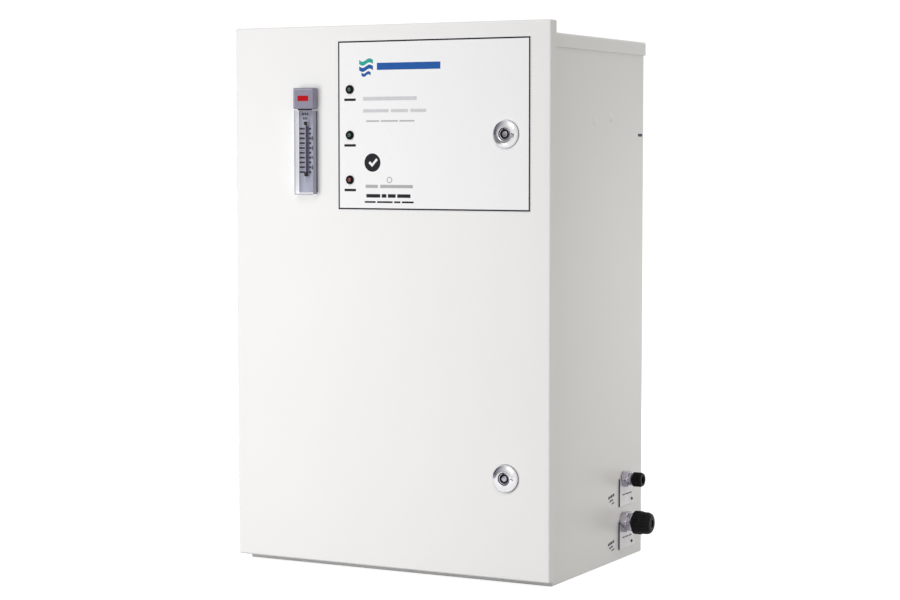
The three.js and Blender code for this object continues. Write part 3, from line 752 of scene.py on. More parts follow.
class Ink:
    """Flat printed shapes on the face of the label, in millimetres from its left top corner."""

    def __init__(self, name, material, face=None, corner=None):
        low, high = span("front_label")
        self.corner = corner or (low.x, high.z)
        self.face = low.y if face is None else face
        self.name, self.material = name, material
        self.bm = bmesh.new()

    def shape(self, outline):
        points = [(self.corner[1] - down, self.corner[0] + right) for right, down in outline]
        add_prism(self.bm, "y", points, self.face - INK, self.face)
        return self

    def bar(self, left, top, right, bottom):
        return self.shape([(left, top), (right, top), (right, bottom), (left, bottom)])

    def words(self, left, top, height, widths, gap):
        """A line of small print stood for by plain bars, one for each word."""
        for width in widths:
            self.bar(left, top, left + width, top + height)
            left += width + gap
        return self

    def ring(self, centre, outer, inner, count=40):
        for k in range(count):
            start, sweep = 2 * math.pi * k / count, 2 * math.pi / count
            outer_arc = circle(centre, outer, 2, start, sweep)
            inner_arc = circle(centre, inner, 2, start, sweep)
            self.shape([*outer_arc, *reversed(inner_arc)])
        return self

    def done(self, body="door", slot="label_film"):
        bmesh.ops.remove_doubles(self.bm, verts=self.bm.verts, dist=1e-5)
        return piece(self.name, self.bm, self.material, body)


def wave(left, right, top, height, lift, count=24):
    """Outline of a wavy band."""
    def crest(x):
        return lift * math.sin(2 * math.pi * (x - left) / (right - left))
    xs = [left + (right - left) * k / count for k in range(count + 1)]
    return [(x, top + crest(x)) for x in xs] + [(x, top + height + crest(x)) for x in reversed(xs)]


def make_label_print():
    low, high = span("front_label")
    width, height = high.x - low.x, high.z - low.z
    border = Ink("label_border", "ink_black")
    edge, line = 0.4, 1.7
    border.bar(edge, edge, width - edge, edge + line).bar(edge, height - edge - line, width - edge,
                                                          height - edge)
    border.bar(edge, edge + line, edge + line, height - edge - line)
    border.bar(width - edge - line, edge + line, width - edge, height - edge - line)
    border.done()
    Ink("label_sign_teal", "ink_teal").shape(wave(28, 46, 22, 4.6, 1.8)).done()
    blue = Ink("label_sign_blue", "ink_blue")
    blue.shape(wave(28, 46, 29, 4.6, 1.8)).shape(wave(31, 43, 36, 3.6, 1.4)).bar(51, 25.5, 132, 33.5).done()
    grey = Ink("label_small_print", "ink_grey")
    grey.words(37, 90, 1.6, [17, 22, 19], 2).ring((67, 157), 3.6, 2.5)
    grey.words(36, 162.5, 3.6, [16, 42], 3).done()
    light = Ink("label_light_print", "ink_light")
    light.words(33, 63.5, 4.2, [69], 3).words(33, 77.5, 3.6, [33, 22, 20], 3).done()
    black = Ink("label_black_print", "ink_black")
    black.shape(circle((45, 137.5), 10.4)).words(37, 173, 4, [18, 6, 10, 17], 2)
    black.words(35, 181, 2, [14, 20, 8, 15], 2)
    for lamp in LAMP_BEZELS:
        place = middle(lamp)
        right, down = place.x - low.x, high.z - place.z
        black.words(right - 7.5, down + 10.2, 2.8, [15], 1)
    black.done()
    tick = Ink("label_tick", "ink_white", face=low.y - INK)
    tick.shape([(40, 138), (42, 136), (44.5, 138.6), (50, 132.6), (52, 134.6), (44.5, 142.4)]).done()


def make_lamps():
    for name in LAMPS:
        low, high = span(f"lamp_{name}_bezel")
        centre = (middle(f"lamp_{name}_bezel").x, low.y, middle(f"lamp_{name}_bezel").z)
        bm = bmesh.new()
        steps = [(3.0, 0.6), (3.6, 0), (4.4, 0), (5.0, 0.7), (5.0, 2), (3.7, 2), (3.7, 11), (3.0, 11)]
        add_turned(bm, "y", centre, steps, 48, closed=True, soft=0.25)
        piece(f"lamp_{name}_holder", bm, "black_plastic", "door", [f"lamp_{name}_bezel"])
        low, high = span(f"lamp_{name}_lens")
        bm = bmesh.new()
        dome = [(2.7 * math.sin(t),
                 2.43 - 2.43 * math.cos(t)) for t in (math.pi / 2 * k / 10 for k in range(11))]
        add_turned(bm, "y", (centre[0], low.y, centre[2]),
                   [*dome, (2.7, high.y - low.y), (0, high.y - low.y)],
                   40, soft=0)
        colour = "lens_red" if name == "vacuum" else "lens_green"
        piece(f"lamp_{name}_dome", bm, colour, "door", [f"lamp_{name}_lens"])


def make_locks():
    for name in LOCKS:
        x, z = middle(f"lock_{name}_housing").x, middle(f"lock_{name}_housing").z
        back = span(f"lock_{name}_housing")[1].y - LOCK_BARREL
        bm = bmesh.new()
        steps = [(7.0, -4.7), (7.6, -5.3), (9.5, -5.2), (12.6, -4.4), (14.6, -3.1), (15.5, -1.4), (15.5, 0),
                 (9.5, 0), (9.5, LOCK_BARREL), (7.0, LOCK_BARREL)]
        add_turned(bm, "y", (x, back, z), steps, 96, closed=True, soft=0.5)
        piece(f"lock_{name}_escutcheon", bm, "chrome", "door", [f"lock_{name}_housing"])
        washer = bmesh.new()
        add_turned(washer, "y", (x, back, z), section(9.7, 15.7, 0, 0.5), 96, closed=True, soft=0.1)
        piece(f"lock_{name}_washer", washer, "foam", "door")
        mark = bmesh.new()
        add_box(mark, (x + 8.6, back - 5.4, z - 0.4), (x + 10.1, back - 5, z + 0.9), 0.1)
        add_box(mark, (x + 10.4, back - 5.1, z - 0.8), (x + 11.8, back - 4.5, z + 0.2), 0.1)
        piece(f"lock_{name}_mark", mark, "ink_black", "door")
        make_lock_plug(name, x, z)
        make_lock_hardware(name, x, z)


def make_lock_plug(name, x, z):
    low, high = span(f"lock_{name}_plug")
    body = f"lock_{name}"
    bm = bmesh.new()
    length = high.y - low.y
    steps = [(0, 0.7), (2.9, 0.7), (3.3, 1.1), (3.3, 7), (5.3, 7), (5.3, 0.8), (5.7, 0.3), (6.2, 0.3),
             (6.7, 0.9),
             (6.7, length), (0, length)]
    add_turned(bm, "y", (x, low.y, z), steps, 64, soft=0.2)
    piece(f"{body}_barrel", bm, "nickel", body, [f"lock_{name}_plug"])
    # Black ring in the plug's groove and two black patches at its top and right: painted shade of the
    # keyway's recesses.
    dark = bmesh.new()
    add_turned(dark, "y", (x, low.y, z), section(3.5, 5.1, 4, 6.8), 48, closed=True, soft=0.1)
    add_box(dark, (x - 1.5, low.y + 0.2, z + 4.4), (x + 0.1, low.y + 1.2, z + 6.4), 0.1)
    add_box(dark, (x + 4.2, low.y + 0.2, z - 0.5), (x + 6, low.y + 1.2, z + 1), 0.1)
    piece(f"{body}_keyway_shade", dark, "ink_black", body)


def make_lock_hardware(name, x, z):
    low, high = span(f"lock_{name}_nut")
    bm = bmesh.new()
    hexagon = circle((z, x), 13.6, 6, math.pi / 6)
    add_prism(bm, "y", hexagon, low.y, high.y, 0.5)
    bm = drill(bm, [("y", 9.7, low.y - 3, high.y + 3, (x, 0, z))])
    piece(f"lock_{name}_hex_nut", bm, "zinc", "door", [f"lock_{name}_nut"])
    low, high = span(f"lock_{name}_cam")
    bm = bmesh.new()
    tip = z - 35
    outline = [(tip + 2, x - 8), (tip, x - 6), (tip, x + 6), (tip + 2, x + 8)]
    outline += circle((z, x), 8, 24, math.pi / 2, -math.pi)
    add_prism(bm, "y", outline, low.y, high.y, 0.35)
    add_prism(bm, "y", circle((z, x), 5.2, 6), high.y, high.y + 3.6, 0.4)
    piece(f"lock_{name}_tongue", bm, "zinc", f"lock_{name}", [f"lock_{name}_cam"])


# ---------------------------------------------------------------- flowmeter
DIGITS = {"2": "abged", "4": "fgbc", "6": "afgedc", "8": "abcdefg"}
STROKES = {"a": (0, 0, 1, 0), "b": (1, 0, 1, 0.5), "c": (1, 0.5, 1, 1), "d": (0, 1, 1, 1),
           "e": (0, 0.5, 0, 1),
           "f": (0, 0, 0, 0.5), "g": (0, 0.5, 1, 0.5)}


def print_number(ink, text, left, top, width, height, line):
    """Plain stroke numerals for a scale."""
    for digit in text:
        for stroke in DIGITS[digit]:
            x0, y0, x1, y1 = STROKES[stroke]
            ink.bar(left + x0 * width, top + y0 * height, left + x1 * width + line, top + y1 * height + line)
        left += width + line * 2.2


def paint_faces(obj, materials, choose):
    """Gives faces other materials by choose(centre in millimetres), which names a material or None."""
    for name in materials:
        obj.data.materials.append(MATERIALS[name])
    for face in obj.data.polygons:
        name = choose(face.center / MM)
        if name:
            face.material_index = materials.index(name) + 1


def make_flowmeter():
    low, high = span("flowmeter_body")
    head_low, head_high = span("flowmeter_head")
    x = middle("flowmeter_body").x
    back = span("flowmeter_scale")[0].y - 0.3
    left, right = x - 12.7, x + 12.7
    bm = bmesh.new()
    add_box(bm, (left, low.y, low.z), (right, back, high.z), 0.9, 3)
    bm = drill(bm, [("z", 2.6, low.z + 14, high.z + 5, (x, (low.y + back) / 2, 0))], 40)
    column = piece("flowmeter_column", bm, "clear", "door", ["flowmeter_body"])

    # The column's left and bottom faces get the glowing frosted finish: painted glow of light-gathering
    # edges.
    def side(centre):
        if centre.x < left + 0.5 or centre.z < low.z + 0.95:
            return "frosted_painted_glow"
        return "scale_plate" if centre.x > right - 0.2 else None

    paint_faces(column, ["frosted_painted_glow", "scale_plate"], side)
    bm = bmesh.new()
    add_thread(bm, "y", (x, 0, port_height("flowmeter_body")), 5, span("flowmeter_scale")[1].y, high.y, 1.4)
    piece("flowmeter_lower_port", bm, "scale_plate", "door")
    # Dark strip at the clear column's rear right edge: painted shade of that edge.
    rear = bmesh.new()
    add_box(rear, (right - 1.5, back - 2.4, low.z + 3), (right + 0.15, back - 0.3, high.z - 1), 0.3)
    piece("flowmeter_rear_edge_shade", rear, "ink_violet", "door")
    # Thin dark strips along the column's left and bottom front edges: painted shade of the clear block's
    # edges.
    front = bmesh.new()
    add_box(front, (left + 0.4, low.y - 0.1, low.z + 1.6), (left + 1.5, low.y + 0.3, high.z), 0.1)
    add_box(front, (left + 0.4, low.y - 0.1, low.z + 0.3), (right - 0.4, low.y + 0.3, low.z + 1.5), 0.1)
    piece("flowmeter_front_edge_shade", front, "scale_plate", "door")
    make_flowmeter_head(x, head_low, head_high, back)
    make_flowmeter_scale(x)
    make_float(x)


def make_flowmeter_head(x, low, high, back):
    bm = bmesh.new()
    add_box(bm, (low.x, low.y, low.z + 0.9), (high.x, back, high.z), 1.3, 4)
    add_thread(bm, "y", (x, 0, port_height("flowmeter_head")), 5, back, high.y, 1.4)
    piece("flowmeter_cap", bm, "grey_plastic", "door", ["flowmeter_head"])
    # Light lines along only the top and left of the cap's front: painted highlight on the lit edges of its
    # recessed frame.
    frame = Ink("flowmeter_cap_frame_highlight", "ink_light", face=low.y + 0.02, corner=(low.x, high.z))
    wide, tall = high.x - low.x, high.z - low.z
    frame.bar(1.6, 1.6, wide - 1.6, 1.9).bar(1.6, 1.9, 1.9, tall - 2.6)
    frame.done(slot="grey_plastic")
    badge = Ink("flowmeter_cap_bar", "ink_red", face=low.y + 0.02, corner=(low.x, high.z))
    badge.shape([(b, -a) for a, b in rounded_rectangle(3.1, 7.2, 0.8, (-(tall / 2 - 0.5), wide / 2))])
    badge.done(slot="grey_plastic")
    seam = bmesh.new()
    add_box(seam, (x - 7, low.y + 0.3, low.z - 0.6), (high.x - 1.6, low.y + 0.9, low.z + 0.9), 0.1)
    piece("flowmeter_seam", seam, "ink_black", "door")


def make_flowmeter_scale(x):
    low, high = span("flowmeter_scale")
    bm = bmesh.new()
    add_box(bm, (x - 12.3, low.y, low.z), high, 0.15)
    piece("flowmeter_plate", bm, "scale_plate", "door", ["flowmeter_scale"])
    place = {"face": low.y - 0.02, "corner": (x, high.z)}
    ink = Ink("flowmeter_marks", "ink_black", **place)
    first, pitch = high.z - 457, 5.51
    for k in range(10):
        down = first - pitch * k
        ink.bar(-11.3, down - 1.2, -4.2, down + 1.2).bar(1.2, down - 1.1, 4.2, down + 1.1)
        if k % 2 and k < 9:
            print_number(ink, str(k + 1), 4.8, down - 2, 1.5, 3.1, 1.0)
    for word, top in ((8.6, 2.2), (5.8, 7.1)):
        ink.words(-3.6 - word / 2, top, 2.9, [word * 0.3, word * 0.3, word * 0.22], word * 0.09)
    ink.done(slot="grey_plastic")
    minor = Ink("flowmeter_minor_marks", "ink_violet", **place)
    for k in range(9):
        down = first - pitch * (k + 0.5)
        minor.bar(-10, down - 0.25, -4.2, down + 0.25)
    minor.done(slot="grey_plastic")
    tube_y = middle("flowmeter_float").y + 2.3
    shade = bmesh.new()
    add_box(shade, (x - 1.6, tube_y, span("flowmeter_float")[0].z), (x + 1.6, tube_y + 0.2, 510), 0.05)
    piece("flowmeter_bore_shade", shade, "ink_violet", "door")
    stop = bmesh.new()
    add_turned(stop, "z", (x, middle("flowmeter_float").y, 510),
               [(0, 0), (1.8, 0.6), (2.2, 2.5), (1.8, 4.6), (0, 5)], 24)
    piece("flowmeter_stop", stop, "black_plastic", "door")


def make_float(x):
    low, high = span("flowmeter_float")
    radius, tall = (high.x - low.x) / 2, high.z - low.z
    bm = bmesh.new()
    steps = [(0, 0), (radius * 0.5, 0), (radius, tall * 0.32), (radius * 0.8, tall * 0.45),
             (radius * 0.8, tall * 0.6),
             (radius, tall * 0.72), (radius, tall * 0.9), (radius * 0.7, tall), (0, tall)]
    add_turned(bm, "z", (x, middle("flowmeter_float").y, low.z), steps, 40, soft=0.2)
    piece("flowmeter_bob", bm, "black_plastic", "float", ["flowmeter_float"])


def add_elbow(bm, x, low, high, z):
    """Moulded elbow block with its barb pointing down to low.z."""
    y = (low.y + high.y) / 2
    add_box(bm, (x - 7, low.y, z - 7), (x + 7, high.y, z + 7), 2.4, 4)
    add_barbs(bm, "z", (x, y, 0), 2.9, z - 7, z - 19)


def make_door_plumbing():
    x = middle("flowmeter_elbow").x
    low, high = span("flowmeter_elbow")
    z = port_height("flowmeter_head")
    bm = bmesh.new()
    add_elbow(bm, x, low, high, z)
    piece("flowmeter_elbow_block", bm, "black_plastic", "door", ["flowmeter_elbow"])
    low, high = span("intake_filter")
    z = port_height("flowmeter_body")
    y = (low.y + high.y) / 2
    bm = bmesh.new()
    add_elbow(bm, x, Vector((0, y - 6.35, 0)), Vector((0, y + 6.35, 0)), z)
    base = z - 12
    steps = [(0, -46), (9, -46), (11, -43), (11, -40.4), (10.2, -40), (10.2, -12.5), (11, -12), (11, -9),
             (5.4, -5),
             (5.4, 5), (4.6, 7), (0, 7)]
    add_turned(bm, "z", (x, y, base), steps, 64, soft=0.5)
    piece("intake_filter_bowl", bm, "natural_plastic", "door", ["intake_filter"])
    ribs = bmesh.new()
    for k in range(16):
        turn = 2 * math.pi * k / 16
        centre = Vector((x + 10.4 * math.cos(turn), y + 10.4 * math.sin(turn), base - 26))
        add_box(ribs, centre - Vector((0.5, 0.5, 13)), centre + Vector((0.5, 0.5, 13)), 0.25)
    piece("intake_filter_ribs", ribs, "natural_plastic", "door")


# ---------------------------------------------------------------- side fittings
def make_tags():
    """Plates behind the two fittings, each with a line of small print, a screw, and a painted shadow strip
    along its front edge.
    """
    for name, fitting, slot_radius in (("outlet", "outlet_nut", 6.5), ("gland", "gland_nut", 10.1)):
        low, high = span(f"{name}_tag")
        y, z = middle(fitting).y, middle(fitting).z
        bm = bmesh.new()
        outline = rounded_rectangle((high.y - low.y) / 2, (high.z - low.z) / 2, 1.0, (middle(f"{name}_tag").y,
                                                                                     middle(f"{name}_tag").z))
        add_prism(bm, "x", outline, low.x, high.x, 0.18)
        tool = bmesh.new()
        notch = circle((y, z), slot_radius, 25, math.pi, math.pi)
        add_prism(tool, "x", [*notch, (y + slot_radius, z + 20), (y - slot_radius, z + 20)], low.x - 3,
                  high.x + 3)
        piece(f"{name}_tag_plate", cut(bm, tool), "tag_plate", "root", [f"{name}_tag"])
        screw = bmesh.new()
        add_screw(screw, "x", (high.x, high.y - 9, low.z + 5.5), 1.9)
        piece(f"{name}_tag_screw", screw, "potting", "root")
        # Dark strip along the plate's front edge, towards the door: painted shadow cast by the plate's
        # standing edge; the side words beside it are print.
        edge = bmesh.new()
        add_box(edge, (low.x - 0.2, low.y - 1.1, low.z), (high.x + 0.15, low.y - 0.1, high.z), 0.1)
        add_side_words(edge, high.x, low.y + 8, low.z + 12.5, [7, 9.5, 7], 1.5, 1.6)
        piece(f"{name}_tag_print_and_shadow", edge, "ink_violet", "root")


def add_side_words(bm, x, y, z, widths, height, gap, slope=0.0):
    """Small print on the right side stood for by bars, running towards the rear."""
    for width in widths:
        rise = slope * width
        outline = [(y, z), (y + width, z + rise), (y + width, z + rise + height), (y, z + height)]
        add_prism(bm, "x", outline, x, x + INK)
        y, z = y + width + gap, z + rise + slope * gap


def make_side_print():
    """Two small stuck-on marks, tilted, and a flat dark patch at the rear edge: painted shade of a slot's
    opening.
    """
    wall = span("cabinet_body")[1].x
    bm = bmesh.new()
    for z in (83, 28):
        add_side_words(bm, wall, 27, z - 7.5, [5, 6.5, 4.5], 3.2, 0.9, 0.14)
        add_side_words(bm, wall, 31, z - 11.5, [4, 4.5], 2.4, 1.2, 0.14)
        add_side_words(bm, wall, 37, z - 14.5, [7.5], 1.6, 1.2, 0.14)
    piece("side_print", bm, "ink_violet", "root")
    # Flat dark patch for the slot: painted shade of its opening.
    slot = bmesh.new()
    add_prism(slot, "x", rounded_rectangle(6.5, 1.7, 1.6, (116, 500)), wall - 1, wall + INK)
    piece("side_slot_shade", slot, "ink_violet", "root")


def make_fitting_body(name, flats, bore, chamfer, collar, thread):
    """Hexagon, round collar and thread of a side fitting; gives its centre and its nut's two ends."""
    low, high = span(f"{name}_body")
    nut_low, nut_high = span(f"{name}_nut")
    centre = (0, middle(f"{name}_nut").y, middle(f"{name}_nut").z)
    seat = span(f"{name}_tag")[1].x + 0.3
    bm = bmesh.new()
    add_hex_nut(bm, "x", centre, flats, seat, seat + 7, bore, chamfer)
    add_turned(bm, "x", centre, section(bore, collar[0], seat + 7, seat + collar[1]), 64, closed=True)
    add_thread(bm, "x", centre, thread[0], low.x, high.x, *thread[1:])
    piece(f"{name}_fitting", bm, "nickel", "root", [f"{name}_body"])
    return centre, nut_low.x, nut_high.x


def make_fitting_locknut(name, centre, flats, bore, chamfer, material):
    low, high = span(f"{name}_locknut")
    bm = bmesh.new()
    add_hex_nut(bm, "x", centre, flats, low.x, high.x, bore, chamfer)
    piece(f"{name}_hex_locknut", bm, material, "root", [f"{name}_locknut"])


def make_outlet():
    centre, start, end = make_fitting_body("outlet", 17.6, 3.2, 0.6, (7.4, 9.6), (6, 1.4, 3.1))
    bm = bmesh.new()
    steps = [(3.4, start, 0), (8.5, start, 0), (8.5, start + 0.5, 0.5), (8.5, end - 2.2, 0.5),
             (8.2, end - 1.6, 0),
             (7.3, end, 0), (4.6, end, 0), (4.2, end - 1.6, 0), (3.4, end - 1.6, 0)]
    add_ribbed(bm, "x", centre, steps, 26)
    piece("outlet_knurled_nut", bm, "black_plastic", "root", ["outlet_nut"])
    make_fitting_locknut("outlet", centre, 17.3, 6.3, 0.6, "zinc")


def make_gland():
    centre, start, end = make_fitting_body("gland", 23.2, 4.6, 0.7, (10.8, 10.4), (9.7, 1.5, 4.5))
    bm = bmesh.new()
    steps = [(4.5, start, 0), (13.4, start, 0), (13.8, start + 0.5, 0.6), (13.8, start + 9, 0.6),
             (13.0, start + 9.8, 0),
             (12.9, start + 10.5, 0.5), (12.9, start + 16.5, 0.5), (12.4, start + 18, 0.5),
             (11.2, end - 1.3, 0.3),
             (9.4, end - 0.3, 0), (8.0, end, 0), (4.9, end, 0), (4.5, end - 0.5, 0)]
    add_ribbed(bm, "x", centre, steps, 24)
    piece("gland_dome_nut", bm, "black_plastic", "root", ["gland_nut"])
    seal = bmesh.new()
    steps = [(0, end - 2.2), (1.2, end - 1.9), (4.4, end - 1.6), (4.4, end - 6), (0, end - 6)]
    add_turned(seal, "x", centre, steps, 40, soft=0.3)
    piece("gland_seal", seal, "foam", "root")
    make_fitting_locknut("gland", centre, 24.2, 10.0, 0.7, "black_plastic")


# ---------------------------------------------------------------- hinge
def make_hinge():
    """Continuous hinge: two leaves whose knuckles take turns along one pin."""
    pin_low, pin_high = span("hinge_pin")
    x, y = middle("hinge_pin").x, middle("hinge_pin").y
    knuckle, bottom = 38, pin_low.z + 1
    for first, name, body in ((0, "hinge_body_leaf", "root"), (1, "hinge_door_leaf", "door")):
        low, high = span(name)
        bm = bmesh.new()
        zs = [bottom + knuckle * k for k in range(first, 15, 2)]
        for z in zs:
            steps = section(1.45, 2.4, z + 0.3, z + knuckle - 0.3)
            add_turned(bm, "z", (x, y, 0), steps, 32, closed=True, soft=0.25)
        if body == "root":
            add_box(bm, (low.x + 1.2 if low.x < x - 2 else x + 1.2, y + 2.7, low.z), (high.x, high.y, high.z),
                    0.2)
            for z in zs:
                add_box(bm, (high.x - 1.2, y + 1.6, z + 0.3), (high.x, y + 3.6, z + knuckle - 0.3), 0.15)
        else:
            add_box(bm, (x + 2.7, high.y - 1.2, low.z), (high.x, high.y, high.z), 0.2)
            for z in zs:
                add_box(bm, (x + 1.6, high.y - 1.2, z + 0.3), (x + 3.6, high.y, z + knuckle - 0.3), 0.15)
        piece(name + "_strip", bm, "steel", body, [name])
    bm = bmesh.new()
    steps = [(0, pin_low.z), (0.9, pin_low.z), (1.2, pin_low.z + 0.5), (1.2, pin_high.z - 0.5),
             (0.9, pin_high.z),
             (0, pin_high.z)]
    add_turned(bm, "z", (x, y, 0), steps, 24, soft=0.1)
    piece("hinge_pin_rod", bm, "steel", "root", ["hinge_pin"])
    wall = span("hinge_body_leaf")[0].x
    rivets = bmesh.new()
    for k in range(8):
        add_turned(rivets, "x", (wall, -112, bottom + 25 + 74 * k),
                   [(0, -1.1), (1.7, -0.8), (2.4, 0.1), (0, 0.1)],
                   24, soft=0.3)
    piece("hinge_rivets", rivets, "steel", "root")


# ---------------------------------------------------------------- equipment plate and ozone cells
TRANSFORMER_DEPTH = 52
CARD_STANDOFF, CARD_THICKNESS = 13, 1.6
HEADER_PITCH, TERMINAL_PITCH = 5.08, 13
HOSE_RADIUS = 4
FAN_BLADES = 7


def plate_seat():
    """The y of the faces that sit on the equipment plate."""
    return span("transformer_left")[1].y


def make_plate():
    low, high = span("equipment_plate")
    bm = bmesh.new()
    add_box(bm, low, (high.x, low.y + 2, high.z), 0.5)
    for x0, x1, foot in ((low.x, low.x + 2, low.x + 18), (high.x - 2, high.x, high.x - 18)):
        add_box(bm, (x0, low.y, low.z), (x1, high.y, high.z), 0.5)
        add_box(bm, (min(x0, foot), high.y - 2, low.z), (max(x1, foot), high.y, high.z), 0.5)
    piece("equipment_plate_sheet", bm, "zinc", "root", ["equipment_plate"])
    screws = bmesh.new()
    for x in (low.x + 10, high.x - 10):
        for z in (low.z + 12, high.z - 12):
            add_screw(screws, "y", (x, low.y, z), 4, out=-1)
    piece("equipment_plate_screws", screws, "steel", "root")


def make_cells():
    for name in ("left", "right"):
        node = f"ozone_cell_{name}"
        low, high = span(node)
        x, y = middle(node).x, middle(node).y
        tip = (high.x - low.x) / 2
        bm = bmesh.new()
        outline = []
        fins, root = 20, tip - 6
        for k in range(fins):
            for radius, share in ((root, 0.0), (root, 0.56), (tip - 0.5, 0.64), (tip, 0.7), (tip, 0.86),
                                  (tip - 0.5, 0.92)):
                turn = 2 * math.pi * (k + share) / fins
                outline.append((x + radius * math.cos(turn), y + radius * math.sin(turn)))
        add_prism(bm, "z", outline, low.z, high.z)
        piece(f"{node}_fins", bm, "aluminium", "root", [node])
        for side, end, out in (("top", high.z, 1), ("bottom", low.z, -1)):
            make_cell_cap(f"{node}_cap_{side}", x, y, end, out)
            make_saddle(f"{node}_saddle_{side}", x, y, end - 45 * out, tip)


def make_cell_cap(node, x, y, end, out):
    bm = bmesh.new()
    steps = [(0, 0.3), (26.4, 0.3), (27, 0.9), (27, 4), (26.2, 4.4), (26.2, 5.6), (27, 6), (27, 11), (24, 14),
             (10, 14.6), (8.5, 15), (6.5, 15.4), (5.2, 17), (2.9, 17.4), (0, 17.4)]
    add_turned(bm, "z", (x, y, end), [(r, h * out) for r, h in steps], 64, soft=0.6)
    add_barbs(bm, "z", (x, y, end), 2.9, 17 * out, 30.3 * out)
    for k in range(6):
        turn = math.pi / 3 * k + 0.3
        place = (x + 20 * math.cos(turn), y + 20 * math.sin(turn), end + 14.1 * out)
        add_screw(bm, "z", place, 2.2, out=out)
    piece(f"{node}_cover", bm, "potting", "root", [node])


def make_saddle(node, x, y, z, tip):
    back = plate_seat()
    bm = bmesh.new()
    add_box(bm, (x - 34, back - 4, z - 9), (x + 34, back, z + 9), 0.8, 3)
    add_box(bm, (x - 20, y + 5, z - 9), (x + 20, back - 1, z + 9), 1.0, 3)
    bm = drill(bm, [("z", tip + 0.6, z - 14, z + 14, (x, y, 0))], 96)
    piece(f"{node}_block", bm, "natural_plastic", "root", [node])
    band = bmesh.new()
    add_turned(band, "z", (x, y, z), section(tip + 0.1, tip + 0.8, -5, 5), 96,
               closed=True, soft=0.2)
    add_box(band, (x - 5, y - tip - 4.5, z - 5), (x + 5, y - tip - 0.4, z + 5), 0.6)
    add_screw(band, "x", (x + 5, y - tip - 2.4, z), 2.6)
    piece(f"{node}_clamp", band, "steel", "root")
    screws = bmesh.new()
    for side in (-1, 1):
        add_screw(screws, "y", (x + 29 * side, back - 4, z), 3.2, out=-1)
    piece(f"{node}_screws", screws, "steel", "root")


def make_transformers():
    for name in ("left", "right"):
        node = f"transformer_{name}"
        low, high = span(node)
        x = middle(node).x
        front = high.y - TRANSFORMER_DEPTH
        bottom, top = low.z + 10, high.z - 10
        bm = bmesh.new()
        add_box(bm, (low.x, front, bottom), (high.x, high.y, top), 3, 4)
        add_box(bm, (low.x, high.y - 3, low.z), (high.x, high.y, high.z), 0.8)
        piece(f"{node}_block", bm, "potting", "root", [node])
        bushing = bmesh.new()
        z = top - 22
        steps = [(0, -14), (3.4, -14), (4, -13.2), (4, -11), (5.6, -10.4), (4, -9.6), (4, -8), (8, -7),
                 (8, 1), (0, 1)]
        add_turned(bushing, "y", (x, front, z), steps, 48, soft=0.3)
        piece(f"{node}_bushing", bushing, "natural_plastic", "root")
        screws = bmesh.new()
        for side in (-1, 1):
            for height in (low.z + 5, high.z - 5):
                add_screw(screws, "y", (x + 22 * side, high.y - 3, height), 3.2, out=-1)
        piece(f"{node}_screws", screws, "steel", "root")
        plate = bmesh.new()
        add_box(plate, (x - 22, front - 0.3, bottom + 12), (x + 22, front + 0.1, bottom + 40), 0.1)
        piece(f"{node}_rating", plate, "label_film", "root")
        ink = Ink(f"{node}_rating_print", "ink_black", face=front - 0.3, corner=(x - 22, bottom + 40))
        ink.bar(3, 3.5, 26, 6.5).words(3, 10, 1.6, [8, 12, 6], 2).words(3, 14.5, 1.6, [10, 5, 9], 2)
        ink.words(3, 19, 1.6, [6, 13], 2).words(3, 23.5, 1.6, [12, 7], 2)
        ink.done("root", "label_film")


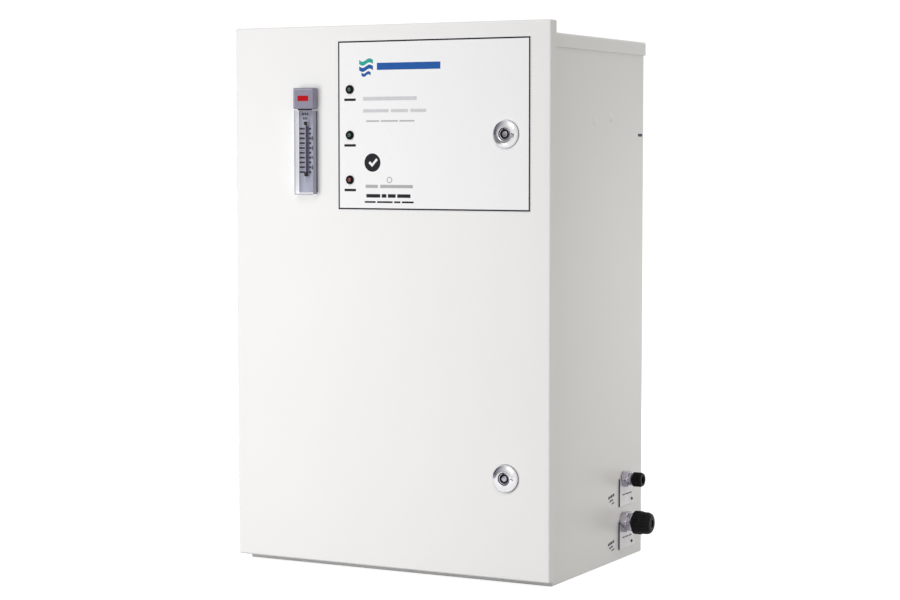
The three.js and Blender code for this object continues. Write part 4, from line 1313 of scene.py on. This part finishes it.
# ---------------------------------------------------------------- control gear
def make_board():
    low, high = span("control_board")
    x0, z0, back = low.x, low.z, high.y - CARD_STANDOFF
    front = back - CARD_THICKNESS
    bm = bmesh.new()
    add_box(bm, (x0, front, z0), (high.x, back, high.z), 0.2)
    bm = drill(bm,
               [("y", 1.7, front - 2, back + 2, (x, 0, z)) for x in (x0 + 3, high.x - 3) for z in (z0 + 90,)],
               20)
    piece("control_card", bm, "solder_mask", "root", ["control_board"])
    posts, metal, dark, blue, copper, light = (bmesh.new() for _ in range(6))
    for x in (x0 + 7, high.x - 7):
        for z in (z0 + 7, high.z - 7):
            add_prism(posts, "y", circle((z, x), 3.2, 6), back, high.y)
            add_screw(metal, "y", (x, front, z), 2.9, out=-1)
    for k in range(3):
        x = x0 + 12 + 24 * k
        add_box(blue if k < 2 else dark, (x, front - 17, z0 + 138), (x + 19, front, z0 + 164), 0.7)
        for row, wide in ((157, 13), (153.5, 9), (143, 11)):
            add_box(light, (x + 3, front - 17.06, z0 + row), (x + 3 + wide, front - 16.9, z0 + row + 1.4), 0)
        centre = (x0 + 22 + 20 * k, front, z0 + 48)
        add_turned(dark, "y", centre,
                   [(0, -23.6), (6.6, -23.6), (7.8, -22.6), (7.8, -1.2), (7.3, -0.6), (0, 0)], 48)
        add_turned(metal, "y", centre, section(0, 6.4, -23.9, -23), 40, soft=0.1)
        add_box(light, (centre[0] - 8, front - 19, centre[2] - 2),
                (centre[0] - 7.6, front - 3, centre[2] + 2), 0.1)
    for k in range(2):
        x, tall = x0 + 48 + 34 * k, 10 + 14 * k
        add_box(dark, (x, front - 4.6, z0 + 90), (x + 24, front - 0.8, z0 + 90 + tall), 0.3)
        for pin in range(9):
            for z in (z0 + 88.9, z0 + 90 + tall):
                add_box(metal, (x + 1.5 + 2.54 * pin, front - 2.4, z), (x + 2.2 + 2.54 * pin, front, z + 1.1),
                        0)
    for k in range(9):
        x = x0 + 94 + 3.6 * k
        add_box(metal, (x, front - 28, z0 + 20), (x + 1.4, front - 3, z0 + 62), 0.2)
    add_box(metal, (x0 + 94, front - 4, z0 + 20), (x0 + 126, front, z0 + 62), 0.3)
    make_board_trim(x0, z0, front, dark, metal, copper, light)
    header = bmesh.new()
    add_box(header, (x0 + 12, front - 11, z0 + 6), (x0 + 80, front, z0 + 17), 0.4)
    tool = bmesh.new()
    for k in range(13):
        x = x0 + 15 + HEADER_PITCH * k
        add_turned(metal, "y", (x, front - 11, z0 + 13.6), section(0, 1.5, 0.3, -0.25), 20, soft=0)
        add_box(tool, (x - 1.6, front - 9, z0 + 4), (x + 1.6, front - 3, z0 + 10), 0)
    piece("control_header", cut(header, tool), "ink_green", "root")
    for name, part, material, slot in (("posts", posts, "natural_plastic", "natural_plastic"),
                                       ("metal", metal, "aluminium", "aluminium"),
                                       ("dark_parts", dark, "black_plastic", "black_plastic"),
                                       ("relays", blue, "ink_sleeve", "circuit_board"),
                                       ("tracks", copper, "ink_copper", "circuit_board"),
                                       ("markings", light, "ink_light", "circuit_board")):
        piece(f"control_{name}", part, material, "root")


def make_board_trim(x0, z0, front, dark, metal, copper, light):
    """Small resistors, three small dark parts with light marks and soldered tracks on the card."""
    for k in range(8):
        x, z = x0 + 14 + 5 * k, z0 + 76
        add_turned(copper, "z", (x, front - 1.6, z),
                   [(0, -3.2), (1.2, -3.0), (1.0, -1.6), (1.0, 1.6), (1.2, 3.0), (0, 3.2)],
                   20, soft=0.3)
        add_box(metal, (x - 0.25, front - 1.8, z - 6), (x + 0.25, front - 1.3, z + 6), 0)
    for k in range(5):
        x = x0 + 20 + 21 * k
        add_box(copper, (x, front - 0.06, z0 + 106), (x + 1.4, front, z0 + 136), 0)
        add_box(copper, (x, front - 0.06, z0 + 120 + 3 * k), (x + 14, front, z0 + 121.4 + 3 * k), 0)
    for k in range(3):
        add_box(dark, (x0 + 100 + 8 * k, front - 7, z0 + 140), (x0 + 105 + 8 * k, front, z0 + 146), 0.3)
        add_box(light, (x0 + 100 + 8 * k, front - 0.06, z0 + 150), (x0 + 106 + 8 * k, front, z0 + 151.4), 0)
    add_box(light, (x0 + 12, front - 0.06, z0 + 19.5), (x0 + 78, front, z0 + 20.3), 0)


def make_terminals():
    low, high = span("terminal_block")
    bm = bmesh.new()
    add_box(bm, (low.x, high.y - 12, low.z), high, 0.5)
    for k in range(9):
        x = low.x + TERMINAL_PITCH * k
        add_box(bm, (x, low.y, low.z), (x + 3, high.y, high.z), 0.6)
    piece("terminal_strip", bm, "black_plastic", "root", ["terminal_block"])
    metal = bmesh.new()
    for k in range(8):
        x = low.x + 8 + TERMINAL_PITCH * k
        add_box(metal, (x - 4, high.y - 13.2, low.z + 3), (x + 4, high.y - 11.8, high.z - 3), 0.2)
        for z in (low.z + 7.5, high.z - 7.5):
            add_screw(metal, "y", (x, high.y - 13.2, z), 3.4, out=-1)
    piece("terminal_screws", metal, "steel", "root")


def make_vacuum_switch():
    low, high = span("vacuum_switch")
    x, back = middle("vacuum_switch").x, high.y
    y, z = middle("ozone_cell_left").y, low.z + 18
    bm = bmesh.new()
    steps = [(0, -26), (14.6, -26), (15.4, -25), (18, -23), (18, -19.6), (17.2, -19.2), (17.2, -18.4),
             (18, -18),
             (18, -15), (13, -13), (13, 0), (0, 0)]
    add_turned(bm, "y", (x, back, z), steps, 64, soft=0.5)
    add_box(bm, (x - 8, y - 8, z - 8), (x + 8, y + 14, z + 12), 1.5, 3)
    add_barbs(bm, "z", (x, y, z), 2.6, 11, 22)
    add_barbs(bm, "y", (x, y, z), 2.6, -7, -22)
    piece("vacuum_switch_case", bm, "grey_plastic", "root", ["vacuum_switch"])
    metal = bmesh.new()
    for k in range(8):
        turn = math.pi / 4 * (k + 0.5)
        add_screw(metal, "y", (x + 16 * math.cos(turn), back - 23.4, z + 16 * math.sin(turn)), 1.5, out=-1)
    for side in (-1, 1):
        add_box(metal, (x + 13 * side - 0.4, back - 9, z - 3.2),
                (x + 13 * side + 6 * side, back - 8.2, z + 3.2), 0.1)
    piece("vacuum_switch_metal", metal, "zinc", "root")


def make_check_valve():
    low = span("check_valve")[0]
    y, z = middle("check_valve").y, middle("check_valve").z
    bm = bmesh.new()
    steps = [(0, 12), (3.4, 13), (8, 15), (9, 16.6), (9, 20), (8.5, 20.4), (8.5, 31.6), (9, 32), (9, 35),
             (8, 37),
             (8, 44), (0, 44)]
    add_turned(bm, "x", (low.x, y, z), steps, 64, soft=0.4)
    add_barbs(bm, "x", (low.x, y, z), 2.6, 13, 0)
    piece("check_valve_case", bm, "natural_plastic", "root", ["check_valve"])
    arrow = bmesh.new()
    x = low.x + 22
    for outline in ([(x, z - 0.7), (x + 4, z - 0.7), (x + 4, z + 0.7), (x, z + 0.7)],
                    [(x + 4, z - 2), (x + 7.5, z), (x + 4, z + 2)]):
        add_prism(arrow, "y", [(b, a) for a, b in outline], y - 8.6, y - 8.4)
    piece("check_valve_arrow", arrow, "ink_black", "root")


def make_fan():
    low, high = span("fan_frame")
    y, z, half = middle("fan_frame").y, middle("fan_frame").z, (high.y - low.y) / 2
    bm = bmesh.new()
    add_box(bm, low, high, 2.5, 4)
    corners = [(y + a * (half - 5), z + b * (half - 5)) for a in (-1, 1) for b in (-1, 1)]
    holes = [("x", 38, low.x - 2, high.x + 2, (0, y, z))]
    holes += [("x", 2.2, low.x - 2, high.x + 2, (0, a, b)) for a, b in corners]
    bm = drill(bm, holes, 96)
    add_turned(bm, "x", (low.x, y, z), section(0, 15, 0, 4), 64)
    for k in range(4):
        turn = math.pi / 4 + math.pi / 2 * k
        arm = bmesh.new()
        add_box(arm, (low.x, -1.6, 13), (low.x + 3, 1.6, 40.5), 0.3)
        bmesh.ops.rotate(arm, cent=(0, 0, 0), matrix=Matrix.Rotation(turn, 3, "X"), verts=arm.verts)
        bmesh.ops.translate(arm, vec=(0, y, z), verts=arm.verts)
        merge(bm, arm)
    piece("fan_housing", bm, "black_plastic", "root", ["fan_frame"])
    screws = bmesh.new()
    for a, b in corners:
        add_screw(screws, "x", (high.x, a, b), 3.4)
    piece("fan_screws", screws, "steel", "root")
    make_fan_rotor(y, z)


def make_fan_rotor(y, z):
    low, high = span("fan_rotor")
    bm = bmesh.new()
    length = high.x - low.x
    steps = [(0, 0), (14.6, 0), (15, 0.5), (15, length - 2), (13.6, length - 0.2), (8, length), (0, length)]
    add_turned(bm, "x", (low.x, y, z), steps, 64, soft=0.5)
    for k in range(FAN_BLADES):
        blade = bmesh.new()
        rings = []
        for step in range(9):
            share = step / 8
            radius = 14.2 + 22 * share
            lean, chord = 0.95 - 0.35 * share, 8 + 3.5 * share
            ring = []
            for t, thick in ((-1, 0), (-0.5, 0.65), (0, 0.8), (0.5, 0.65), (1, 0), (0.5, -0.45), (0, -0.6),
                             (-0.5, -0.45)):
                around = chord * t * math.sin(lean) + 1.6 * (1 - t * t) + thick * math.cos(lean)
                along_axis = chord * t * math.cos(lean) - thick * math.sin(lean)
                turn = around / radius + 0.25 * share
                ring.append((low.x + 8.5 + along_axis * 0.95, radius * math.sin(turn),
                             radius * math.cos(turn)))
            rings.append(ring)
        add_rings(blade, rings)
        bmesh.ops.rotate(blade, cent=(0, 0, 0), matrix=Matrix.Rotation(2 * math.pi * k / FAN_BLADES, 3, "X"),
                         verts=blade.verts)
        bmesh.ops.translate(blade, vec=(0, y, z), verts=blade.verts)
        merge(bm, blade)
    piece("fan_impeller", bm, "black_plastic", "fan", ["fan_rotor"], sharp=40)
    badge = bmesh.new()
    add_turned(badge, "x", (high.x, y, z), section(0, 7, 0.12, -0.1), 48, soft=0)
    add_prism(badge, "x", [(y - 6, z - 11.5), (y + 6, z - 11.5), (y + 4, z - 9), (y - 4, z - 9)],
              high.x - 0.4, high.x + 0.12)
    piece("fan_badge", badge, "label_film", "fan")


# ---------------------------------------------------------------- hoses and wires
def make_hose(name, node, route, radius, material="hose", body="root"):
    bm = bmesh.new()
    add_tube(bm, smooth_route(route), radius, 32)
    return piece(name, bm, material, body, [node] if node else ())


def add_clip(bm, axis, place, radius, width=3.0):
    """Spring clip round a hose end."""
    steps = section(radius, radius + 0.8, -width / 2, width / 2)
    add_turned(bm, axis, place, steps, 40, closed=True, soft=0.15)
    step = {"x": (0, 0, 1), "y": (0, 0, 1), "z": (0, -1, 0)}[axis]
    centre = Vector(place) + Vector(step) * (radius + 1.8)
    add_box(bm, centre - Vector((1.1, 1.1, 1.1)), centre + Vector((1.1, 1.1, 1.1)), 0.3)


def make_hoses():
    cell_y = middle("ozone_cell_left").y
    left, right = middle("ozone_cell_left").x, middle("ozone_cell_right").x
    bm = bmesh.new()
    low, high = span("coupling_hose")
    add_turned(bm, "z", (left, cell_y, 0), section(2.9, HOSE_RADIUS, low.z, high.z), 48, closed=True)
    piece("coupling_hose_tube", bm, "hose", "root", ["coupling_hose"])
    low, high = span("cell_link_hose")
    base, arc = low.z, (right - left) / 2
    arch = [((left + right) / 2 - arc * math.cos(math.pi * k / 12), cell_y,
             base + 6 + arc * math.sin(math.pi * k / 12))
            for k in range(13)]
    make_hose("cell_link_tube", "cell_link_hose", [(left, cell_y, base), *arch, (right, cell_y, base)],
              HOSE_RADIUS)
    top = span("ozone_cell_right_cap_bottom")[0].z - 0.3
    valve_x, valve_y, valve_z = span("check_valve")[0].x, middle("check_valve").y, middle("check_valve").z
    route = [(right, cell_y, top), (right, cell_y, top - 12), (right + 16, cell_y, top - 34),
             (right + 60, cell_y, top - 42), (right + 104, cell_y + 6, top - 62),
             (right + 124, cell_y + 16, top - 100),
             (right + 148, valve_y, valve_z + 6), (valve_x - 12, valve_y, valve_z),
             (valve_x - 0.3, valve_y, valve_z)]
    make_hose("ozone_hose_tube", "ozone_hose", route, HOSE_RADIUS)
    clips = bmesh.new()
    for x, z in ((left, base + 4), (right, base + 4), (right, top - 4)):
        add_clip(clips, "z", (x, cell_y, z), HOSE_RADIUS)
    add_clip(clips, "x", (valve_x - 4, valve_y, valve_z), HOSE_RADIUS)
    piece("hose_clips", clips, "steel", "root")


def make_door_hose():
    elbow_low, elbow_high = span("flowmeter_elbow")
    x, y, z = middle("flowmeter_elbow").x, (elbow_low.y + elbow_high.y) / 2, elbow_low.z - 0.3
    switch_x, switch_z = middle("vacuum_switch").x, span("vacuum_switch")[0].z + 18
    end = middle("ozone_cell_left").y - 22.3
    route = [(x, y, z), (x, y, z - 10), (x - 14, y, z - 34), (x - 34, y, z - 58), (-155, y, z - 100),
             (-155, y, z - 180), (-155, y, 235), (-152, -92, 198), (-140, -50, 184), (-122, 0, switch_z),
             (switch_x, 20, switch_z), (switch_x, end, switch_z)]
    hose = make_hose("door_hose_tube", "door_hose", route, HOSE_RADIUS, body=None)
    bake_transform(hose)


def make_harness():
    """Sheathed lamp leads across the hinge side, and the short tails to each lamp."""
    lamp = middle("lamp_power_bezel")
    x = lamp.x
    route = [(x, -129, 520), (x - 4, -127, 470), (x - 14, -124, 415), (-80, -121, 376), (-106, -119, 360),
             (-130, -118, 350), (-143, -117, 325), (-143, -117, 260), (-141, -100, 222), (-110, -40, 212),
             (-40, 20, 222), (0, 46, 260), (14, 58, 310), (22, 62, 326), (34, 66, 330)]
    sheath = make_hose("lamp_sheath", "lamp_harness", route, 3, "black_plastic", body=None)
    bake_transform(sheath)
    for name, along_x, tint in (("power", -2, "ink_green"), ("ozone", 0, "ink_white"),
                                ("vacuum", 2, "ink_red")):
        end = middle(f"lamp_{name}_bezel")
        back = span(f"lamp_{name}_lens")[1].y
        start = {"power": 519, "ozone": 480, "vacuum": 430}[name]
        bm = bmesh.new()
        for side in (-1, 1):
            path = [(x + along_x * 0.4 - (520 - start) * 0.09, -128, start),
                    (end.x + 9 + side, -130, (start + end.z) / 2),
                    (end.x + side * 1.3, -128.5, end.z), (end.x + side * 1.3, back, end.z)]
            add_tube(bm, smooth_route(path), 0.8, 12)
        piece(f"lamp_{name}_tails", bm, tint, "door")


def make_wires():
    """High-voltage leads, and the supply and control wires of the fixed gear."""
    leads = bmesh.new()
    for name, x_off in (("left", -30), ("right", 30)):
        high = span(f"transformer_{name}")[1]
        x, front, z = middle(f"transformer_{name}").x, high.y - TRANSFORMER_DEPTH, high.z - 32
        cell = middle(f"ozone_cell_{name}")
        bottom = span(f"ozone_cell_{name}")[0].z
        path = [(x, front - 13, z), (x, front - 20, z + 2), (x + x_off * 0.7, front - 24, z + 24),
                (x + x_off * 1.15, front - 12, bottom - 30), (x + x_off * 0.95, cell.y - 14, bottom - 6),
                (x + x_off * 0.86, cell.y - 6, bottom - 4)]
        add_tube(leads, smooth_route(path), 2, 20)
    piece("high_voltage_leads", leads, "ink_red", "root")
    strip_low, strip_high = span("terminal_block")
    gland = span("gland_body")[0].x
    y, z = middle("gland_nut").y, middle("gland_nut").z
    for k, tint in enumerate(("black_plastic", "ink_white", "ink_green")):
        shift = (k - 1) * 2.4
        end_x = strip_low.x + 8 + TERMINAL_PITCH * (5 + k)
        path = [(gland + 8, y + shift * 0.6, z), (gland - 8, y + shift, z),
                (gland - 34, y + shift, z + 16 + shift),
                (132 + shift, y + 8, z + 60), (130 + shift, y + 12, 200), (end_x, y + 9, 246),
                (end_x, strip_high.y - 15, strip_low.z + 1), (end_x, strip_high.y - 14.6, strip_low.z + 6)]
        bm = bmesh.new()
        add_tube(bm, smooth_route(path), 1.4, 16)
        piece(f"supply_wire_{k + 1}", bm, tint, "root")
    board_low = span("control_board")[0]
    card = span("control_board")[1].y - (CARD_STANDOFF + CARD_THICKNESS)
    for k, tint in enumerate(("ink_red", "black_plastic", "ink_white", "ink_blue", "ink_green")):
        x, end_x = strip_low.x + 8 + TERMINAL_PITCH * k, board_low.x + 20.1 + HEADER_PITCH * 2 * k
        path = [(x, strip_high.y - 14.6, strip_high.z - 6), (x, strip_high.y - 16, strip_high.z + 2),
                (x + 1, strip_high.y - 26, strip_high.z + 14), (end_x, card - 12, board_low.z - 4),
                (end_x, card - 6, board_low.z + 6), (end_x, card - 5, board_low.z + 9)]
        bm = bmesh.new()
        add_tube(bm, smooth_route(path), 1.2, 14)
        piece(f"control_wire_{k + 1}", bm, tint, "root")
    fan = span("fan_frame")[1]
    bm = bmesh.new()
    for side in (-1, 1):
        path = [(fan.x - 6, fan.y - 3, fan.z - 3 + side), (fan.x + 8, fan.y + 2, fan.z + 6 + side),
                (-150, fan.y + 22, fan.z + 14), (-86 + side, 84, 232), (-6, 84, 236 + side),
                (strip_low.x + 4, 86, 252), (strip_low.x + 8 + side, strip_high.y - 15, strip_low.z + 5)]
        add_tube(bm, smooth_route(path), 1, 12)
    piece("fan_wires", bm, "black_plastic", "root")


make_camera()
bpy.context.scene.view_settings.view_transform = "Standard"
MATERIALS.update(make_materials())
make_world()
make_sun()
make_area("front_soft", (-0.42, -1.1, 0.3), (-0.25, -0.1, 0.3), (0.5, 0.9), 6.6)
make_area("side_soft", (0.66, 0.2, 0.33), (0.2, 0.1, 0.33), (0.25, 0.25), 0.6, (1, 0.97, 0.89))
make_area("rear_soft", (-0.9, 1.6, 0.9), (0, 0.1, 0.3), (0.8, 1.0), 13)
make_floor()
make_door()
make_body()
make_cover()
make_side_rivets()
make_gasket()
make_label()
make_label_print()
make_lamps()
make_locks()
make_flowmeter()
make_door_plumbing()
make_tags()
make_side_print()
make_outlet()
make_gland()
make_hinge()
make_plate()
make_cells()
make_transformers()
make_board()
make_terminals()
make_vacuum_switch()
make_check_valve()
make_fan()
make_hoses()
make_door_hose()
make_harness()
make_wires()
